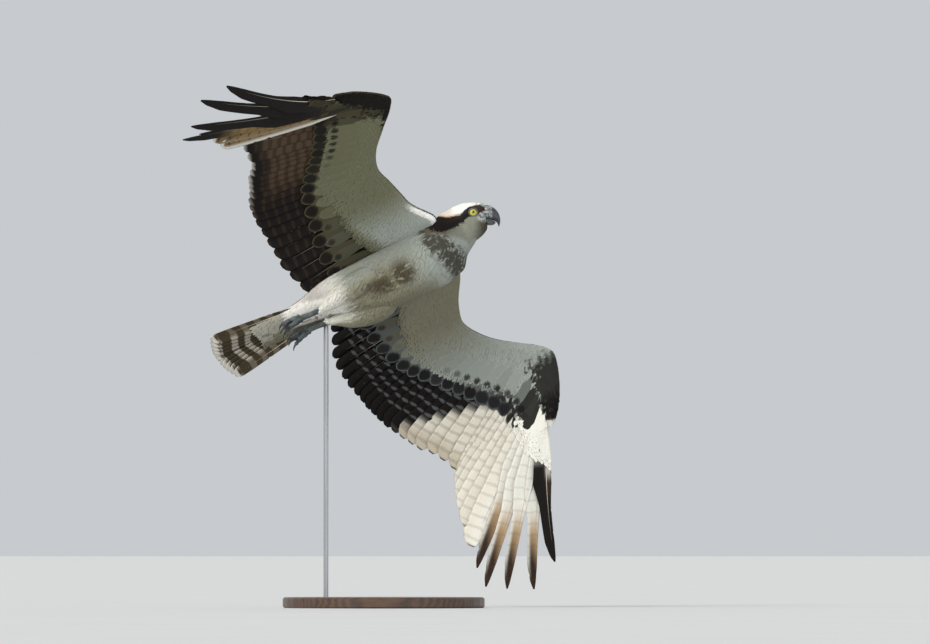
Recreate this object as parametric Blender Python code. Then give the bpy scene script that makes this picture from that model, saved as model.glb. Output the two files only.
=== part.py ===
"""A life-size osprey banking in flight with its wings bowed, held over a plain display stand.

The bird is modelled in its own frame: x forwards, y to its left, z up, with the origin between
the shoulders. An empty turns and lifts that frame over the stand. The origin of the whole part
is the centre of the stand's underside. All sizes are in metres.
"""

import math

import bmesh
import bpy
import numpy as np
from mathutils import Euler, Matrix, Vector

GAP = 0.0003

# How the bird hangs over its stand
HEADING = math.radians(-17.2)
CLIMB = math.radians(22.3)
BANK = math.radians(47.4)
BIRD_ORIGIN = Vector((0.080, -0.030, 0.655))

# The head is held more level while the body banks
HEAD_HEADING = math.radians(-9.8)
HEAD_DIP = math.radians(1.4)
HEAD_BANK = math.radians(13.0)
HEAD_CENTRE = Vector((0.1075, -0.0065, 0.0598))

# Trunk sections from the tail end to the neck: x, middle height, half width, height up, height down
TRUNK = (
    (-0.236, -0.005, 0.041, 0.016, 0.017),
    (-0.215, -0.006, 0.049, 0.022, 0.024),
    (-0.180, -0.006, 0.056, 0.029, 0.035),
    (-0.130, -0.006, 0.060, 0.037, 0.046),
    (-0.070, -0.004, 0.062, 0.043, 0.055),
    (-0.010, 0.000, 0.063, 0.049, 0.059),
    (0.025, 0.003, 0.062, 0.056, 0.055),
    (0.046, 0.010, 0.059, 0.058, 0.050),
)
TRUNK_RINGS = 14
BODY_SIDES = 20

# Head sections from the nape to the bill, in the head's frame, whose origin lies between the eyes:
# top x, top z, bottom x, bottom z, half width
HEAD = (
    (-0.036, 0.0200, 0.0085, -0.0485, 0.0290),
    (-0.027, 0.0240, 0.0150, -0.0430, 0.0280),
    (-0.016, 0.0264, 0.0208, -0.0372, 0.0262),
    (-0.004, 0.0274, 0.0248, -0.0315, 0.0238),
    (0.007, 0.0274, 0.0275, -0.0265, 0.0206),
    (0.0155, 0.0260, 0.0282, -0.0224, 0.0165),
    (0.0225, 0.0228, 0.0282, -0.0190, 0.0118),
)
HEAD_RINGS = 11
NECK_RINGS = 7
NECK_CREST = 0.13
NECK_THROAT = 0.10

# Eyes
EYE_RADIUS = 0.0086
EYE_PLACE = Vector((0.0005, 0.0172, 0.0005))
LID_RADIUS = 0.0072
LID_THICKNESS = 0.0012

# Bill sections, in the head's frame: top x, top z, bottom x, bottom z, half width
UPPER_BILL = (
    (0.0231, 0.0206, 0.0266, -0.0060, 0.0102),
    (0.0310, 0.0190, 0.0310, -0.0068, 0.0090),
    (0.0385, 0.0146, 0.0358, -0.0080, 0.0074),
    (0.0452, 0.0072, 0.0404, -0.0095, 0.0055),
    (0.0492, -0.0018, 0.0440, -0.0125, 0.0036),
    (0.0503, -0.0112, 0.0465, -0.0165, 0.0020),
    (0.0488, -0.0200, 0.0480, -0.0205, 0.0006),
)
LOWER_BILL = (
    (0.0267, -0.0067, 0.0282, -0.0176, 0.0090),
    (0.0320, -0.0075, 0.0325, -0.0178, 0.0074),
    (0.0375, -0.0089, 0.0378, -0.0166, 0.0048),
    (0.0412, -0.0106, 0.0410, -0.0140, 0.0022),
)
BILL_SIDES = 10
MOUTH_BACK = 0.002
MOUTH_HEIGHT = -0.0063
MOUTH_SLOT = 0.0005
NOSTRIL = Vector((0.0285, 0.0085, 0.0095))

# Wings. A feather's order runs 1 to 10 for the primaries from the leading edge inwards,
# 11 to 26 for the secondaries and 27 to 30 for the tertials. Rows are order, x, y, z.
PRIMARIES = 10
FLIGHT_FEATHERS = 30
ROOTS = (
    (1, 0.038, 0.428, -0.027),
    (5.5, 0.056, 0.388, 0.001),
    (10, 0.066, 0.346, 0.025),
    (11, 0.060, 0.329, 0.032),
    (14.5, 0.036, 0.296, 0.036),
    (18, 0.006, 0.262, 0.038),
    (23, -0.046, 0.205, 0.037),
    (27, -0.064, 0.140, 0.029),
    (30, -0.072, 0.075, 0.020),
)
TIPS = (
    (1, -0.072, 0.651, -0.160),
    (2, -0.127, 0.668, -0.188),
    (3, -0.168, 0.634, -0.202),
    (4, -0.201, 0.611, -0.198),
    (5, -0.203, 0.580, -0.174),
    (6, -0.198, 0.548, -0.148),
    (8, -0.188, 0.497, -0.104),
    (10, -0.174, 0.468, -0.077),
    (11, -0.164, 0.453, -0.066),
    (13, -0.172, 0.407, -0.047),
    (16, -0.205, 0.358, -0.025),
    (20, -0.240, 0.297, 0.000),
    (24, -0.256, 0.227, 0.008),
    (27, -0.256, 0.150, 0.002),
    (30, -0.236, 0.060, -0.004),
)
# Leading edge and rear of the flesh: leading x, y, z, rear x, y, z, thickness
ARM_FLESH = (
    (0.048, 0.028, 0.020, -0.096, 0.028, 0.012, 0.036),
    (0.037, 0.075, 0.025, -0.090, 0.076, 0.020, 0.032),
    (0.022, 0.120, 0.032, -0.084, 0.122, 0.027, 0.029),
    (0.002, 0.165, 0.041, -0.074, 0.168, 0.033, 0.026),
    (-0.007, 0.203, 0.046, -0.057, 0.202, 0.036, 0.024),
    (0.014, 0.248, 0.047, -0.020, 0.242, 0.037, 0.021),
    (0.050, 0.285, 0.047, 0.011, 0.277, 0.035, 0.020),
    (0.083, 0.313, 0.046, 0.034, 0.305, 0.033, 0.019),
    (0.101, 0.336, 0.042, 0.052, 0.333, 0.028, 0.018),
)
HAND_FLESH = (
    (0.101, 0.336, 0.042, 0.052, 0.333, 0.028, 0.018),
    (0.101, 0.356, 0.029, 0.053, 0.355, 0.017, 0.017),
    (0.090, 0.386, 0.008, 0.048, 0.384, -0.001, 0.015),
    (0.070, 0.420, -0.015, 0.036, 0.412, -0.021, 0.013),
    (0.044, 0.446, -0.034, 0.022, 0.438, -0.038, 0.010),
)
ARM_RINGS = 12
HAND_RINGS = 6
ELBOW_SHIFT = 0.015
WRIST_SHIFT = 0.006
TRAILING_SHIFT = 0.014
RIGHT_SHOULDER_SHIFT = 0.030
# How far the right wing's feather tips lie from the places that mirror the left: order, x, y, z
RIGHT_TIP_SHIFTS = (
    (1, 0.001, 0.009, -0.027),
    (2, 0.010, 0.006, -0.030),
    (3, 0.010, 0.003, -0.026),
    (4, 0.012, 0.000, -0.020),
    (5, 0.032, -0.002, 0.001),
    (7, 0.030, -0.008, -0.006),
    (8, 0.024, -0.005, -0.004),
    (10, 0.010, 0.004, 0.008),
    (13, 0.000, 0.000, 0.000),
)
RIGHT_FINGER_BOW = 0.010
TILT = math.radians(6.0)

# Vane outlines: share of the length, share of the full width
ROUND_VANE = ((0.0, 0.30), (0.35, 0.90), (0.80, 0.97), (0.95, 0.62), (1.0, 0.22))
FINGER_VANE = ((0.0, 0.28), (0.20, 0.80), (0.44, 1.0), (0.62, 0.60), (0.86, 0.52), (1.0, 0.10))
COVERT_VANE = ((0.0, 0.60), (0.70, 1.0), (1.0, 0.30))

# Tail
TAIL_ROOT_X = -0.250
TAIL_TIP_X = -0.452
TAIL_DROP = 0.014
TAIL_ROOT_SPREAD = 0.019
TAIL_HALF_SPREAD = 0.049
TAIL_SWING = 0.005
TAIL_LAYER = 0.00105
RECTRIX_THICKNESS = 0.0007
TAIL_PAIRS = 6
TAIL_FLESH = (
    (-0.2363, -0.005, 0.0405, 0.0157, 0.0167),
    (-0.252, -0.005, 0.034, 0.0125, 0.0140),
    (-0.274, -0.006, 0.025, 0.0070, 0.0095),
)

# Legs, left side: thigh path x, y, z and radius, then tarsus and toes
THIGH = (
    (-0.080, 0.032, -0.022, 0.020),
    (-0.125, 0.037, -0.034, 0.0245),
    (-0.170, 0.030, -0.038, 0.0200),
    (-0.200, 0.020, -0.038, 0.0120),
    (-0.214, 0.0165, -0.037, 0.0085),
)
TARSUS = ((-0.2110, 0.0168, -0.037, 0.0062), (-0.238, 0.0155, -0.036, 0.0050), (-0.263, 0.0155, -0.035, 0.0058))
TOE_LENGTH = 0.037
TOE_RADIUS = 0.0046
CLAW_LENGTH = 0.021
CLAW_RADIUS = 0.0026
CLAW_SINK = 0.0020

# Stand
BASE_RADIUS = 0.190
BASE_HEIGHT = 0.020
BASE_BEVEL = 0.003
ROD_RADIUS = 0.0045
ROD_SINK = 0.012
ROD_TOP = Vector((-0.214, 0.0, -0.004))

# Finish of each node, by the start of its name: base colour, roughness, metallic
FINISHES = {
    "torso": ((0.62, 0.60, 0.54), 0.75, 0.0),
    "neck": ((0.50, 0.45, 0.38), 0.75, 0.0),
    "head": ((0.66, 0.62, 0.54), 0.75, 0.0),
    "tail": ((0.38, 0.32, 0.26), 0.70, 0.0),
    "wing": ((0.42, 0.38, 0.32), 0.70, 0.0),
    "thigh": ((0.70, 0.68, 0.62), 0.75, 0.0),
    "foot": ((0.40, 0.46, 0.50), 0.60, 0.0),
    "claw": ((0.02, 0.02, 0.022), 0.35, 0.0),
    "bill": ((0.03, 0.032, 0.038), 0.35, 0.0),
    "eye": ((0.75, 0.60, 0.05), 0.10, 0.0),
    "stand_base": ((0.09, 0.05, 0.03), 0.45, 0.0),
    "stand_rod": ((0.55, 0.55, 0.56), 0.30, 1.0),
}


def clear_scene():
    for item in list(bpy.data.objects):
        bpy.data.objects.remove(item)


def dress(item):
    """Gives a node its own material."""
    colour, roughness, metallic = next(f for start, f in FINISHES.items() if item.name.startswith(start))
    material = bpy.data.materials.new(f"{item.name}_finish")
    material.use_nodes = True
    shader = material.node_tree.nodes["Principled BSDF"]
    shader.inputs["Base Color"].default_value = (*colour, 1.0)
    shader.inputs["Roughness"].default_value = roughness
    shader.inputs["Metallic"].default_value = metallic
    item.data.materials.clear()
    item.data.materials.append(material)


def smooth_table(rows, at):
    """The values of a table at any key, by a smooth cubic through its rows. The key comes first."""
    rows = np.asarray(rows, float)
    keys, values = rows[:, 0], rows[:, 1:]
    slopes = np.gradient(values, keys, axis=0)
    at = min(max(at, keys[0]), keys[-1])
    low = min(int(np.searchsorted(keys, at, side="right")) - 1, len(keys) - 2)
    span = keys[low + 1] - keys[low]
    t = (at - keys[low]) / span
    start, end = values[low], values[low + 1]
    leave, arrive = slopes[low] * span, slopes[low + 1] * span
    return (
        (2 * t**3 - 3 * t**2 + 1) * start
        + (t**3 - 2 * t**2 + t) * leave
        + (3 * t**2 - 2 * t**3) * end
        + (t**3 - t**2) * arrive
    )


def numbered(rows):
    """Puts 0, 1, 2 and so on before each row, as the key of a smooth table."""
    return [(index, *row) for index, row in enumerate(rows)]


def ramp(value, low, high):
    t = min(max((value - low) / (high - low), 0.0), 1.0)
    return t * t * (3 - 2 * t)


def mesh_object(name, points, faces, smooth=True):
    mesh = bpy.data.meshes.new(name)
    mesh.from_pydata([tuple(p) for p in points], [], faces)
    mesh.validate()
    mesh.update()
    item = bpy.data.objects.new(name, mesh)
    bpy.context.scene.collection.objects.link(item)
    face_out(item)
    if smooth:
        mesh.shade_smooth()
        mesh.set_sharp_from_angle(angle=math.radians(40))
    return item


def face_out(item):
    work = bmesh.new()
    work.from_mesh(item.data)
    bmesh.ops.recalc_face_normals(work, faces=work.faces)
    if work.calc_volume(signed=True) < 0:
        bmesh.ops.reverse_faces(work, faces=work.faces)
    work.to_mesh(item.data)
    work.free()


def loft(name, rings):
    """A closed body through rings of equal count, capped flat at both ends, all in triangles."""
    sides = len(rings[0])
    points = [p for ring in rings for p in ring]
    faces = []
    for ring in range(len(rings) - 1):
        for side in range(sides):
            a = ring * sides + side
            b = ring * sides + (side + 1) % sides
            faces.append((a, b, b + sides))
            faces.append((a, b + sides, a + sides))
    for first in (0, (len(rings) - 1) * sides):
        centre = len(points)
        points.append(sum((Vector(p) for p in points[first : first + sides]), Vector()) / sides)
        for side in range(sides):
            faces.append((first + side, first + (side + 1) % sides, centre))
    return mesh_object(name, points, faces)


def oval(centre, left, up, half_width, rise, drop, sides):
    ring = []
    for side in range(sides):
        angle = 2 * math.pi * side / sides
        height = rise if math.sin(angle) > 0 else drop
        ring.append(centre + left * half_width * math.cos(angle) + up * height * math.sin(angle))
    return ring


def tube(name, rows, sides):
    """A round tapering body along rows of x, y, z, radius."""
    spots = [Vector(row[:3]) for row in rows]
    rings = []
    for index, (spot, row) in enumerate(zip(spots, rows)):
        ahead = spots[min(index + 1, len(spots) - 1)] - spots[max(index - 1, 0)]
        across = ahead.cross(Vector((0, 0, 1))).normalized()
        up = across.cross(ahead).normalized()
        rings.append(oval(spot, across, up, row[3], row[3], row[3], sides))
    return loft(name, rings)


def apply_boolean(item, operation, other=None, group=None):
    modifier = item.modifiers.new("shape", "BOOLEAN")
    modifier.operation = operation
    modifier.solver = "EXACT"
    if group is None:
        modifier.object = other
    else:
        modifier.operand_type = "COLLECTION"
        modifier.collection = group
    bpy.context.view_layer.update()
    made = bpy.data.meshes.new_from_object(item.evaluated_get(bpy.context.evaluated_depsgraph_get()))
    item.modifiers.clear()
    item.data = made


def remove(*items):
    for item in items:
        bpy.data.objects.remove(item)


def keep_largest(item):
    """Leaves only the closed surface that holds the most, in triangles."""
    work = bmesh.new()
    work.from_mesh(item.data)
    bmesh.ops.triangulate(work, faces=work.faces)
    work.faces.ensure_lookup_table()
    seen, groups = set(), []
    for face in work.faces:
        if face.index in seen:
            continue
        group, edge_of_group = [], [face]
        seen.add(face.index)
        while edge_of_group:
            current = edge_of_group.pop()
            group.append(current)
            for edge in current.edges:
                for other in edge.link_faces:
                    if other.index not in seen:
                        seen.add(other.index)
                        edge_of_group.append(other)
        groups.append(group)
    if len(groups) > 1:
        held = [abs(sum(f.verts[0].co.dot(f.verts[1].co.cross(f.verts[2].co)) for f in g)) for g in groups]
        best = held.index(max(held))
        spare = [f for index, group in enumerate(groups) if index != best for f in group]
        bmesh.ops.delete(work, geom=spare, context="FACES")
    work.to_mesh(item.data)
    work.free()


def join(item, pieces):
    """Fuses the pieces into the item with one union."""
    group = bpy.data.collections.new("pieces")
    for piece in pieces:
        group.objects.link(piece)
    apply_boolean(item, "UNION", group=group)
    remove(*pieces)
    bpy.data.collections.remove(group)
    keep_largest(item)


def grown(item, distance=GAP):
    """A copy of a body, larger all round by a distance."""
    copy = item.copy()
    copy.data = item.data.copy()
    bpy.context.scene.collection.objects.link(copy)
    work = bmesh.new()
    work.from_mesh(copy.data)
    work.normal_update()
    moves = [(v, v.normal * distance) for v in work.verts]
    for vertex, move in moves:
        vertex.co += move
    work.to_mesh(copy.data)
    work.free()
    return copy


def clear_of(item, *bodies):
    """Cuts an item back so that it keeps the gap to each body."""
    for body in bodies:
        cutter = grown(body)
        apply_boolean(item, "DIFFERENCE", other=cutter)
        remove(cutter)
    keep_largest(item)


def bird_turn():
    return Euler((-BANK, -CLIMB, HEADING), "XYZ").to_matrix()


def head_turn():
    """The head's axes in the bird's frame."""
    level = Euler((-HEAD_BANK, HEAD_DIP, HEAD_HEADING), "XYZ").to_matrix()
    return bird_turn().inverted() @ level


def trunk_ring(at):
    x, middle, half_width, rise, drop = smooth_table(numbered(TRUNK), at)
    centre = Vector((x, 0, middle))
    return oval(centre, Vector((0, 1, 0)), Vector((0, 0, 1)), half_width, rise, drop, BODY_SIDES)


def leaning_ring(rows, at, sides, top_share=1.0):
    """A section given by its top and bottom points and its half width."""
    top_x, top_z, low_x, low_z, half_width = smooth_table(numbered(rows), at)
    top, low = Vector((top_x, 0, top_z)), Vector((low_x, 0, low_z))
    middle, rise = (top + low) / 2, (top - low) / 2
    ring = []
    for side in range(sides):
        angle = 2 * math.pi * side / sides
        width = half_width * (top_share if math.sin(angle) > 0 else 1.0)
        ring.append(middle + Vector((0, width * math.cos(angle), 0)) + rise * math.sin(angle))
    return ring


def make_torso():
    last = len(TRUNK) - 1
    rings = [trunk_ring(last * index / (TRUNK_RINGS - 1)) for index in range(TRUNK_RINGS)]
    return loft("torso", rings)


def make_neck():
    """Bridges the front of the trunk and the back of the level head."""
    turn = head_turn()
    start = [Vector(p) for p in trunk_ring(len(TRUNK) - 1)]
    end = [turn @ p + HEAD_CENTRE for p in leaning_ring(HEAD, 0, BODY_SIDES)]
    start_centre = sum(start, Vector()) / BODY_SIDES
    end_centre = sum(end, Vector()) / BODY_SIDES
    leave = Vector((0.050, 0, 0.010))
    arrive = turn @ Vector((0.044, 0, 0.032))
    rings = []
    for index in range(NECK_RINGS):
        t = index / (NECK_RINGS - 1)
        ease = t * t * (3 - 2 * t)
        centre = (
            start_centre * (2 * t**3 - 3 * t**2 + 1)
            + leave * (t**3 - 2 * t**2 + t)
            + end_centre * (3 * t**2 - 2 * t**3)
            + arrive * (t**3 - t**2)
        )
        ring = []
        for side, (a, b) in enumerate(zip(start, end)):
            # Loose feathers fill the hind neck, and the throat close behind the chin
            share = ramp(math.sin(2 * math.pi * side / BODY_SIDES), -0.8, 0.2)
            full = 1 + NECK_CREST * share * math.sin(math.pi * t)
            full += NECK_THROAT * (1 - share) * math.sin(math.pi * t * t)
            ring.append(centre + (a - start_centre).lerp(b - end_centre, ease) * full)
        rings.append(ring)
    rings[0] = [p + Vector((GAP, 0, 0)) for p in start]
    rings[-1] = [p - turn @ Vector((GAP, 0, GAP)) for p in end]
    return loft("neck", rings)


def ball(name, centre, radius, segments=14, rings=8):
    work = bmesh.new()
    bmesh.ops.create_uvsphere(work, u_segments=segments, v_segments=rings, radius=radius)
    bmesh.ops.triangulate(work, faces=work.faces)
    mesh = bpy.data.meshes.new(name)
    work.to_mesh(mesh)
    work.free()
    mesh.transform(Matrix.Translation(centre))
    item = bpy.data.objects.new(name, mesh)
    bpy.context.scene.collection.objects.link(item)
    mesh.shade_smooth()
    return item


def lid(side):
    """A ring of lid round one eye, facing out and a little forwards."""
    centre = Vector((EYE_PLACE.x + 0.0012, side * (EYE_PLACE.y + 0.0050), EYE_PLACE.z))
    outward = Vector((0.22, side, 0.05)).normalized()
    around = outward.cross(Vector((0, 0, 1))).normalized()
    upward = around.cross(outward).normalized()
    steps, corners = 12, 4
    points, faces = [], []
    for step in range(steps):
        angle = 2 * math.pi * step / steps
        out = around * math.cos(angle) + upward * math.sin(angle)
        for corner in range(corners):
            turn = 2 * math.pi * corner / corners
            points.append(
                centre
                + out * (LID_RADIUS + LID_THICKNESS * math.cos(turn))
                + outward * LID_THICKNESS * 1.2 * math.sin(turn)
            )
    for step in range(steps):
        for corner in range(corners):
            a = step * corners + corner
            b = step * corners + (corner + 1) % corners
            c = (step + 1) % steps * corners + corner
            d = (step + 1) % steps * corners + (corner + 1) % corners
            faces.append((a, b, d))
            faces.append((a, d, c))
    return mesh_object("lid", points, faces)


def make_head():
    last = len(HEAD) - 1
    rings = [leaning_ring(HEAD, last * index / (HEAD_RINGS - 1), BODY_SIDES) for index in range(HEAD_RINGS)]
    head = loft("head", rings)
    join(head, [lid(1), lid(-1)])
    for side in (1, -1):
        socket = ball("socket", Vector((EYE_PLACE.x, side * EYE_PLACE.y, EYE_PLACE.z)), EYE_RADIUS + GAP)
        apply_boolean(head, "DIFFERENCE", other=socket)
        remove(socket)
    depth = HEAD[-1][0] - MOUTH_BACK + 0.004
    slot = box("slot", Vector((MOUTH_BACK + depth / 2, 0, MOUTH_HEIGHT)), Vector((depth, 0.060, MOUTH_SLOT)))
    apply_boolean(head, "DIFFERENCE", other=slot)
    remove(slot)
    keep_largest(head)
    return head


def box(name, centre, size):
    work = bmesh.new()
    bmesh.ops.create_cube(work, size=1.0)
    for vertex in work.verts:
        vertex.co = centre + Vector((vertex.co.x * size.x, vertex.co.y * size.y, vertex.co.z * size.z))
    mesh = bpy.data.meshes.new(name)
    work.to_mesh(mesh)
    work.free()
    item = bpy.data.objects.new(name, mesh)
    bpy.context.scene.collection.objects.link(item)
    return item


def bill_part(name, rows):
    """A bill half through sections that lean with its curve."""
    count = 2 * len(rows) - 1
    rings = [leaning_ring(rows, index / 2, BILL_SIDES, 0.92) for index in range(count)]
    return loft(name, rings)


def make_bill():
    upper = bill_part("bill_upper", UPPER_BILL)
    for side in (1, -1):
        hole = ball("hole", Vector((0, 0, 0)), 1.0, 8, 5)
        hole.data.transform(Matrix.Diagonal((0.0021, 0.0016, 0.0009, 1)))
        hole.data.transform(Matrix.Rotation(math.radians(-25), 4, "Y"))
        hole.data.transform(Matrix.Translation((NOSTRIL.x, side * NOSTRIL.y, NOSTRIL.z)))
        apply_boolean(upper, "DIFFERENCE", other=hole)
        remove(hole)
    keep_largest(upper)
    return upper, bill_part("bill_lower", LOWER_BILL)


def vane(root, tip, up, across, leading, trailing, outline, thickness, bow, bow_side=0.0):
    """One feather as a closed thin plate. Its edges lie leading and trailing of the shaft, and it is
    bowed upwards and sideways by the given heights. Both faces are split alike."""
    along = tip - root
    points, faces = [], []
    for share, width in outline:
        lift = 4 * share * (1 - share)
        spot = root + along * share + up * bow * lift + across * bow_side * lift
        half = thickness / 2 * (1.0 if share < 0.9 else 0.8)
        for edge, face in ((-leading, 1), (trailing, 1), (trailing, -1), (-leading, -1)):
            points.append(spot + across * edge * width + up * half * face)
    for section in range(len(outline) - 1):
        a = section * 4
        b = a + 4
        faces += [(a, a + 1, b + 1), (a, b + 1, b)]
        faces += [(a + 3, b + 2, a + 2), (a + 3, b + 3, b + 2)]
        faces += [(a + 1, a + 2, b + 2), (a + 1, b + 2, b + 1)]
        faces += [(a, b + 3, a + 3), (a, b, b + 3)]
    end = (len(outline) - 1) * 4
    faces += [(0, 2, 1), (0, 3, 2), (end, end + 1, end + 2), (end, end + 2, end + 3)]
    return mesh_object("vane", points, faces, smooth=False)


class Wing:
    """One wing's lines, for the left side at +1 or the right side at -1."""

    def __init__(self, side):
        self.side = side

    def place(self, x, y, z):
        """A point of the wing, with the small difference between the two wings in this pose."""
        start, full = (0.060, 0.140) if self.side > 0 else (0.090, 0.180)
        inner = ELBOW_SHIFT * ramp(y, start, full) * (1 - ramp(y, 0.260, 0.345))
        outer = WRIST_SHIFT * ramp(y, 0.260, 0.345) * (1 - ramp(y, 0.420, 0.500))
        spot = Vector((x - self.side * (inner + outer), self.side * y, z))
        if self.side < 0:
            spot.x += RIGHT_SHOULDER_SHIFT * (1 - ramp(y, 0.045, 0.120)) * ramp(x, -0.080, 0.020)
        return spot

    def root(self, order):
        return self.place(*smooth_table(ROOTS, order))

    def tip(self, order):
        back = TRAILING_SHIFT * ramp(order, 12, 15) * (1 - ramp(order, 18, 23))
        x, y, z = smooth_table(TIPS, order)
        if self.side < 0:
            x, y, z = smooth_table(TIPS, order) + smooth_table(RIGHT_TIP_SHIFTS, order)
        return self.place(x, y, z) - Vector((self.side * back, 0, 0))

    def frame(self, order):
        """Directions along the feather, across it towards the trailing side, and up out of the wing."""
        along = (self.tip(order) - self.root(order)).normalized()
        low, high = max(order - 1.5, 1), min(order + 1.5, FLIGHT_FEATHERS)
        inward = (self.tip(high) - self.tip(low)) + (self.root(high) - self.root(low))
        up = along.cross(inward).normalized() * self.side
        if up.z < 0:
            up = -up
        across = up.cross(along).normalized() * self.side
        if across.dot(inward) < 0:
            across = -across
        return along, across * math.cos(TILT) - up * math.sin(TILT), up * math.cos(TILT) + across * math.sin(TILT)

    def bow(self, order):
        sag = RIGHT_FINGER_BOW * ramp(order, 4, 1) if self.side < 0 else 0.0
        return 0.006 - 0.010 * ramp(order, 12, 4) - sag

    def flight_feather(self, order):
        along, across, up = self.frame(order)
        root, tip = self.root(order), self.tip(order)
        bow = self.bow(order)
        if order > PRIMARIES:
            return vane(root, tip, up, across, 0.012, 0.024, ROUND_VANE, 0.0006, bow)
        if order > 5:
            return vane(root, tip, up, across, 0.014, 0.030, ROUND_VANE, 0.0007, bow)
        return vane(root, tip, up, across, 0.010, 0.028, FINGER_VANE, 0.0007, bow, 0.010 * ramp(order, 5, 1))

    def covert(self, order, face, start, length, rise, half_width):
        """A covert over the flight feather of that order, on the upper (1) or under (-1) face. It
        follows the bow of that feather."""
        along, across, up = self.frame(order)
        root, tip = self.root(order), self.tip(order)
        whole = (tip - root).length
        spots = []
        for reach, height in ((start, rise[0]), (start + length, rise[1])):
            share = reach / whole
            lift = 4 * share * (1 - share) * self.bow(order) + face * height
            spots.append(root + along * reach + up * lift)
        bow = self.bow(order) * (length / whole) ** 2
        return vane(*spots, up, across, half_width * 0.8, half_width * 1.2, COVERT_VANE, 0.0007, bow)

    def flesh(self, name, rows, ring_count, first_gap, last_gap):
        """The fleshy front of the wing as a loft of aerofoils."""
        profile = (
            (0.0, 0.0), (0.05, 0.30), (0.20, 0.50), (0.50, 0.52), (0.80, 0.42), (1.0, 0.26),
            (1.0, -0.26), (0.80, -0.42), (0.50, -0.46), (0.20, -0.40), (0.05, -0.26),
        )
        table = numbered(rows)
        rings = []
        for index in range(ring_count):
            row = smooth_table(table, (len(rows) - 1) * index / (ring_count - 1))
            near = smooth_table(table, min((len(rows) - 1) * index / (ring_count - 1) + 0.2, len(rows) - 1))
            far = smooth_table(table, max((len(rows) - 1) * index / (ring_count - 1) - 0.2, 0))
            front, rear = self.place(*row[:3]), self.place(*row[3:6])
            outward = self.place(*((near[:3] + near[3:6]) / 2)) - self.place(*((far[:3] + far[3:6]) / 2))
            up = (rear - front).cross(outward).normalized()
            if up.z < 0:
                up = -up
            shift = Vector()
            if index == 0:
                shift = outward.normalized() * first_gap
            if index == ring_count - 1:
                shift = -outward.normalized() * last_gap
            rings.append([front.lerp(rear, share) + up * row[6] * height + shift for share, height in profile])
        return loft(name, rings)


def spread(first, last, count):
    return [first + (last - first) * index / (count - 1) for index in range(count)]


def make_wing(side, bodies):
    """The arm and the hand of one wing, each with its own flight feathers and coverts."""
    label = "left" if side > 0 else "right"
    wing = Wing(side)
    arm = wing.flesh(f"wing_arm_{label}", ARM_FLESH, ARM_RINGS, 0.0, GAP / 2)
    hand = wing.flesh(f"wing_hand_{label}", HAND_FLESH, HAND_RINGS, GAP / 2, 0.0)
    arm_core = grown(arm)

    arm_vanes = [wing.flight_feather(order) for order in range(PRIMARIES + 1, FLIGHT_FEATHERS + 1)]
    hand_vanes = [wing.flight_feather(order) for order in range(1, PRIMARIES + 1)]
    for face in (1, -1):
        for order in spread(11, 30, 10):
            arm_vanes.append(wing.covert(order, face, -0.006, 0.098, (0.0030, 0.0046), 0.0190))
        for order in spread(1.6, 10, 6):
            hand_vanes.append(wing.covert(order, face, -0.004, 0.104 - 0.004 * order, (0.0026, 0.0040), 0.0130))
    join(arm, arm_vanes)
    join(hand, hand_vanes)
    apply_boolean(hand, "DIFFERENCE", other=arm_core)
    remove(arm_core)
    keep_largest(hand)
    clear_of(arm, hand, *bodies)
    return arm, hand


def make_tail():
    last = len(TAIL_FLESH) - 1
    rings = []
    for index in range(6):
        x, middle, half_width, rise, drop = smooth_table(numbered(TAIL_FLESH), last * index / 5)
        centre = Vector((x, 0, middle))
        rings.append(oval(centre, Vector((0, 1, 0)), Vector((0, 0, 1)), half_width, rise, drop, BODY_SIDES))
    tail = loft("tail", rings)
    up = Vector((0, 0, 1))
    vanes = []
    for pair in range(TAIL_PAIRS):
        for side in (1, -1):
            outness = (pair + 0.5) / (TAIL_PAIRS - 0.5)
            layer = pair + 1 if pair else (0 if side > 0 else 1)
            height = -0.0010 - TAIL_LAYER * layer
            root = Vector((TAIL_ROOT_X, side * TAIL_ROOT_SPREAD * outness, height))
            aside = side * TAIL_HALF_SPREAD * outness + TAIL_SWING
            tip = Vector((TAIL_TIP_X + 0.014 * outness**2, aside, height - TAIL_DROP))
            inner = 0.015 if pair == 0 else max(0.0045, min(0.018, TAIL_HALF_SPREAD * outness * 0.8))
            vanes.append(
                vane(root, tip, up, Vector((0, -side, 0)), 0.0105, inner, ROUND_VANE, RECTRIX_THICKNESS, 0.0)
            )
    for face, reach, offset, count in ((-1, 0.088, 0.0104, 4), (1, 0.070, 0.0030, 4)):
        for index in range(count):
            share = 2 * index / (count - 1) - 1
            height = -0.0010 + face * offset - abs(share) * TAIL_LAYER * 1.6
            root = Vector((TAIL_ROOT_X - 0.001, share * 0.016, height))
            fall = TAIL_DROP * reach / (TAIL_ROOT_X - TAIL_TIP_X)
            tip = Vector((TAIL_ROOT_X - reach + 0.012 * share**2, share * 0.030, height - fall - face * 0.0004))
            across = Vector((0, 1, 0.10)).normalized()
            out = across.cross(tip - root).normalized()
            vanes.append(vane(root, tip, out, across, 0.012, 0.012, COVERT_VANE, 0.0007, 0.0))
    join(tail, vanes)
    return tail


def bent_path(start, aim, length, radius, end_radius, curl, steps):
    """Rows of x, y, z, radius that leave start along aim and bend downwards by curl over the length."""
    rows = []
    spot, heading = Vector(start), Vector(aim).normalized()
    across = heading.cross(Vector((0, 0, 1))).normalized()
    for step in range(steps + 1):
        share = step / steps
        rows.append((*spot, radius + (end_radius - radius) * share))
        heading = Matrix.Rotation(-curl / steps, 3, across) @ heading
        spot = spot + heading * (length / steps)
    return rows


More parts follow.
